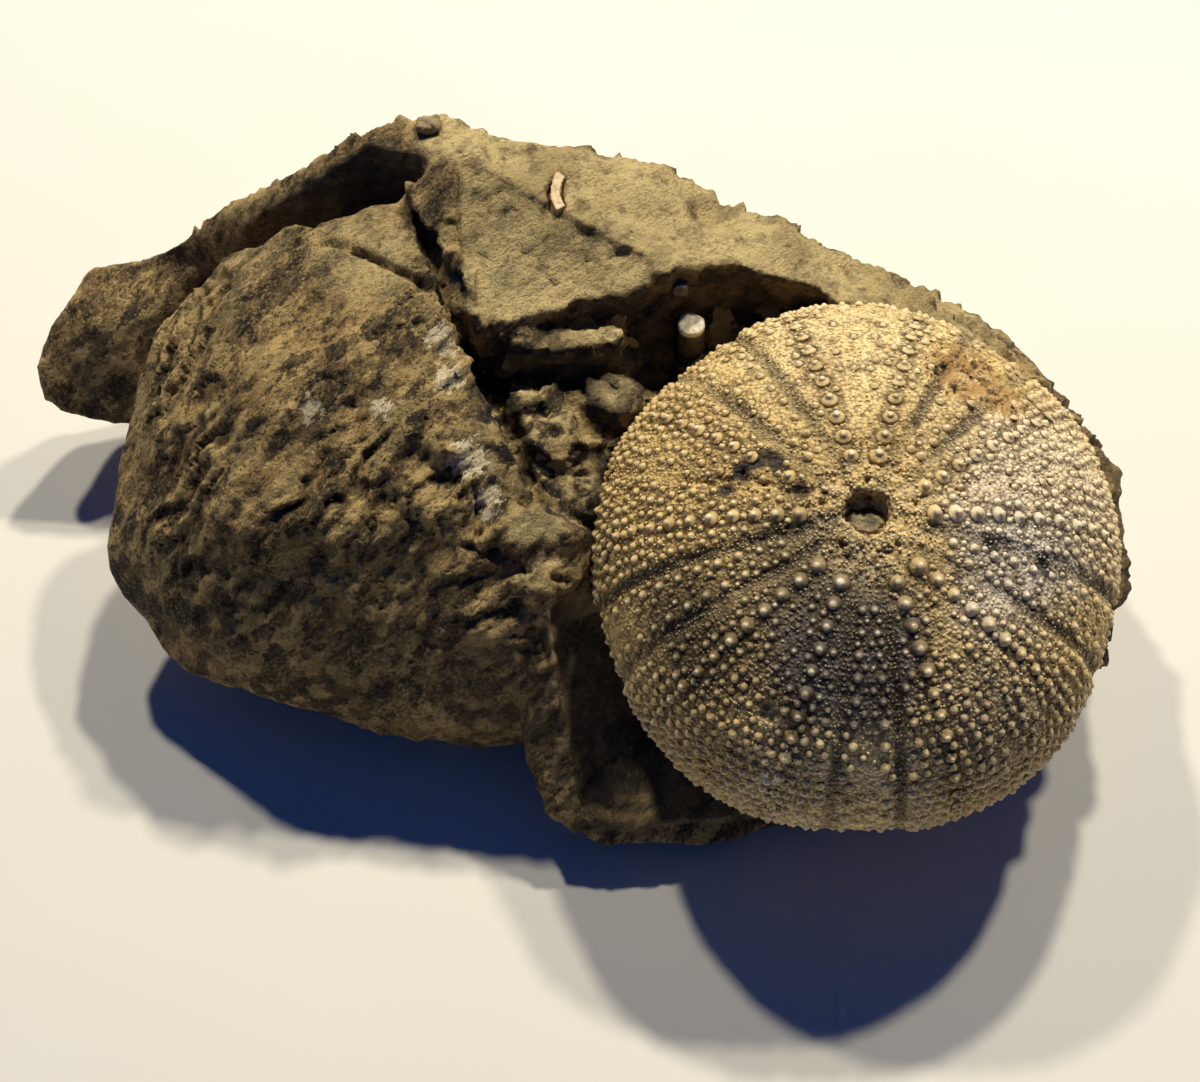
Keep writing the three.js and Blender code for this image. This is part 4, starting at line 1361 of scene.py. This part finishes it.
class FOSSIL_OT_small_pieces(bpy.types.Operator):
    """Wear the spine stub, the sliver, the two small stones and the sediment in the opening"""
    bl_idname = "fossil.small_pieces"
    bl_label = "Small Pieces"

    def execute(self, context):
        stub = remesh(start_from("spine_stub", "broken_spine"), 0.17 * MM, 1)
        work(stub, chip_tree("worn_spine", 0.3, 0.14, swell=0.25))
        hand_in(stub, stub_material(), "pale_calcite", "spine_stub")

        for node, name, skin, steps, coarse, fine, slot, stone, finish in SMALL_STONES:
            piece = remesh(start_from(node, name), skin * MM, steps)
            work(piece, chip_tree("worn_" + name, coarse, fine))
            hand_in(piece, plain_stone_material(stone, *finish), slot, node)

        plug = start_from("sediment_plug", "opening_filling")
        bpy.ops.object.mode_set(mode="EDIT")
        bpy.ops.mesh.select_all(action="SELECT")
        middle = (44.3 * MM, -17.9 * MM, 55.7 * MM)
        bpy.ops.transform.resize(value=(1.62, 1.62, 1.0), center_override=middle)
        bpy.ops.transform.translate(value=(0.2 * MM, 1.2 * MM, -0.6 * MM))
        bpy.ops.object.mode_set(mode="OBJECT")
        remesh(plug, 0.2 * MM, 4)
        work(plug, chip_tree("worn_filling", 0.9, 0.4, 0.42))
        hand_in(plug, sediment_material(), "pale_sediment", "sediment_plug")
        return {"FINISHED"}


# ---- the stage --------------------------------------------------------------

CAMERA_AIM = Vector((5.79, -5.88, 30.0)) * MM
CAMERA_RISE = math.radians(60.0)
CAMERA_AWAY = 450 * MM
CAMERA_LENS = 87.75
FLOOR_SIZE = 4.0
# Each lamp's bearing from straight behind the fossil, in degrees, and its share of the lamp power.
LAMPS = (("lamp_right", 37, 0.8), ("lamp_middle", 15, 1.05), ("lamp_left", -24, 0.8))


class FOSSIL_OT_stage(bpy.types.Operator):
    """Lay the pale floor and set up the camera and lamps"""
    bl_idname = "fossil.stage"
    bl_label = "Stage"

    def execute(self, context):
        scene = context.scene
        settings = scene.fossil_stage
        object_mode()
        bpy.ops.object.select_all(action="DESELECT")
        bpy.ops.mesh.primitive_plane_add(size=FLOOR_SIZE)
        floor = context.object
        floor.name = "floor"
        material, wired, shader, place = new_material("pale_table")
        haze = wired.noise(place, 1.0 / 60.0, 3.0).outputs[0]
        wired.tree.links.new(wired.tint(haze, (0.80, 0.765, 0.66, 1.0), (0.84, 0.81, 0.71, 1.0)),
                             shader.inputs["Base Color"])
        shader.inputs["Roughness"].default_value = 0.7
        floor.data.materials.append(material)

        camera = put_in_scene("camera", bpy.data.cameras.new("camera"))
        back = Vector((0, -math.cos(CAMERA_RISE), math.sin(CAMERA_RISE)))
        camera.location = CAMERA_AIM + back * CAMERA_AWAY
        camera.rotation_euler = (math.pi / 2 - CAMERA_RISE, 0, 0)
        camera.data.lens = CAMERA_LENS
        camera.data.sensor_width = 36
        camera.data.sensor_fit = "HORIZONTAL"
        scene.camera = camera

        for name, bearing, power in LAMPS:
            light = bpy.data.lights.new(name, "AREA")
            light.shape = "DISK"
            light.size = settings.lamp_size
            light.energy = settings.lamp_power * power
            light.color = settings.lamp_color
            lamp = put_in_scene(name, light)
            rise = math.radians(settings.lamp_rise)
            turn = math.radians(bearing)
            level = math.cos(rise)
            way = Vector((math.sin(turn) * level, math.cos(turn) * level, math.sin(rise)))
            lamp.location = CAMERA_AIM + way * settings.lamp_distance
            lamp.rotation_euler = (-way).to_track_quat("-Z", "Y").to_euler()

        world = bpy.data.worlds.new("soft_room")
        scene.world = world
        world.use_nodes = True
        sky = world.node_tree.nodes["Background"]
        sky.inputs["Color"].default_value = (*settings.sky_color, 1.0)
        sky.inputs["Strength"].default_value = settings.sky_strength
        scene.view_settings.view_transform = "Standard"
        return {"FINISHED"}


# ---- settings, panel and registration ---------------------------------------

class FossilRockSettings(bpy.types.PropertyGroup):
    skin: bpy.props.FloatProperty(
        name="Skin Size", description="Width of the squares in the stone's skin",
        default=0.62 * MM, subtype="DISTANCE", unit="LENGTH")


class FossilUrchinSettings(bpy.types.PropertyGroup):
    skin: bpy.props.FloatProperty(
        name="Skin Size", description="Width of the squares in the test's skin",
        default=0.48 * MM, subtype="DISTANCE", unit="LENGTH")
    last_row: bpy.props.FloatProperty(
        name="Last Row", description="How far down from the top the tubercles go, in millimetres",
        default=84.0)
    seed: bpy.props.IntProperty(name="Seed", description="Picks the small unevenness of the rows", default=5)
    crown: bpy.props.FloatVectorProperty(
        name="Knob Colour", description="Colour of the tubercles' tips", subtype="COLOR",
        size=3, default=(1.0, 0.87, 0.58))
    bed: bpy.props.FloatVectorProperty(
        name="Bed Colour", description="Colour of the test between the tubercles", subtype="COLOR",
        size=3, default=(0.78, 0.56, 0.225))


class FossilStageSettings(bpy.types.PropertyGroup):
    lamp_power: bpy.props.FloatProperty(
        name="Lamp Power", description="Power of the middle lamp", default=4.9, subtype="POWER")
    lamp_distance: bpy.props.FloatProperty(
        name="Lamp Distance", description="How far the lamps stand from the fossil",
        default=0.95, subtype="DISTANCE", unit="LENGTH")
    lamp_rise: bpy.props.FloatProperty(
        name="Lamp Height", description="Angle of the lamps above the table, in degrees", default=53.0)
    lamp_size: bpy.props.FloatProperty(
        name="Lamp Size", description="Width of each lamp", default=0.055, subtype="DISTANCE", unit="LENGTH")
    lamp_color: bpy.props.FloatVectorProperty(
        name="Lamp Colour", description="Colour of the lamps", subtype="COLOR", size=3,
        default=(1.0, 0.94, 0.8))
    sky_color: bpy.props.FloatVectorProperty(
        name="Room Colour", description="Colour of the light from all round", subtype="COLOR", size=3,
        default=(0.02, 0.18, 0.85))
    sky_strength: bpy.props.FloatProperty(
        name="Room Light", description="Strength of the light from all round", default=0.125)


OPERATORS = (FOSSIL_OT_rock, FOSSIL_OT_test, FOSSIL_OT_knobs, FOSSIL_OT_small_pieces, FOSSIL_OT_stage)


class FOSSIL_PT_panel(bpy.types.Panel):
    """Builds the fossil piece by piece"""
    bl_label = "Fossil Sea Urchin"
    bl_idname = "FOSSIL_PT_panel"
    bl_space_type = "VIEW_3D"
    bl_region_type = "UI"
    bl_category = "Fossil"

    def draw(self, context):
        for operator in OPERATORS:
            self.layout.operator(operator.bl_idname)


SETTINGS = (
    ("fossil_rock", FossilRockSettings),
    ("fossil_urchin", FossilUrchinSettings),
    ("fossil_stage", FossilStageSettings),
)


def register():
    for name, group in SETTINGS:
        bpy.utils.register_class(group)
        setattr(bpy.types.Scene, name, bpy.props.PointerProperty(type=group))
    for thing in (*OPERATORS, FOSSIL_PT_panel):
        bpy.utils.register_class(thing)


def unregister():
    for thing in reversed((*OPERATORS, FOSSIL_PT_panel)):
        bpy.utils.unregister_class(thing)
    for name, group in reversed(SETTINGS):
        delattr(bpy.types.Scene, name)
        bpy.utils.unregister_class(group)


def main():
    register()
    bpy.ops.fossil.rock()
    bpy.ops.fossil.test()
    bpy.ops.fossil.knobs()
    bpy.ops.fossil.small_pieces()
    bpy.ops.fossil.stage()
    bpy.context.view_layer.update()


if __name__ == "__main__":
    main()
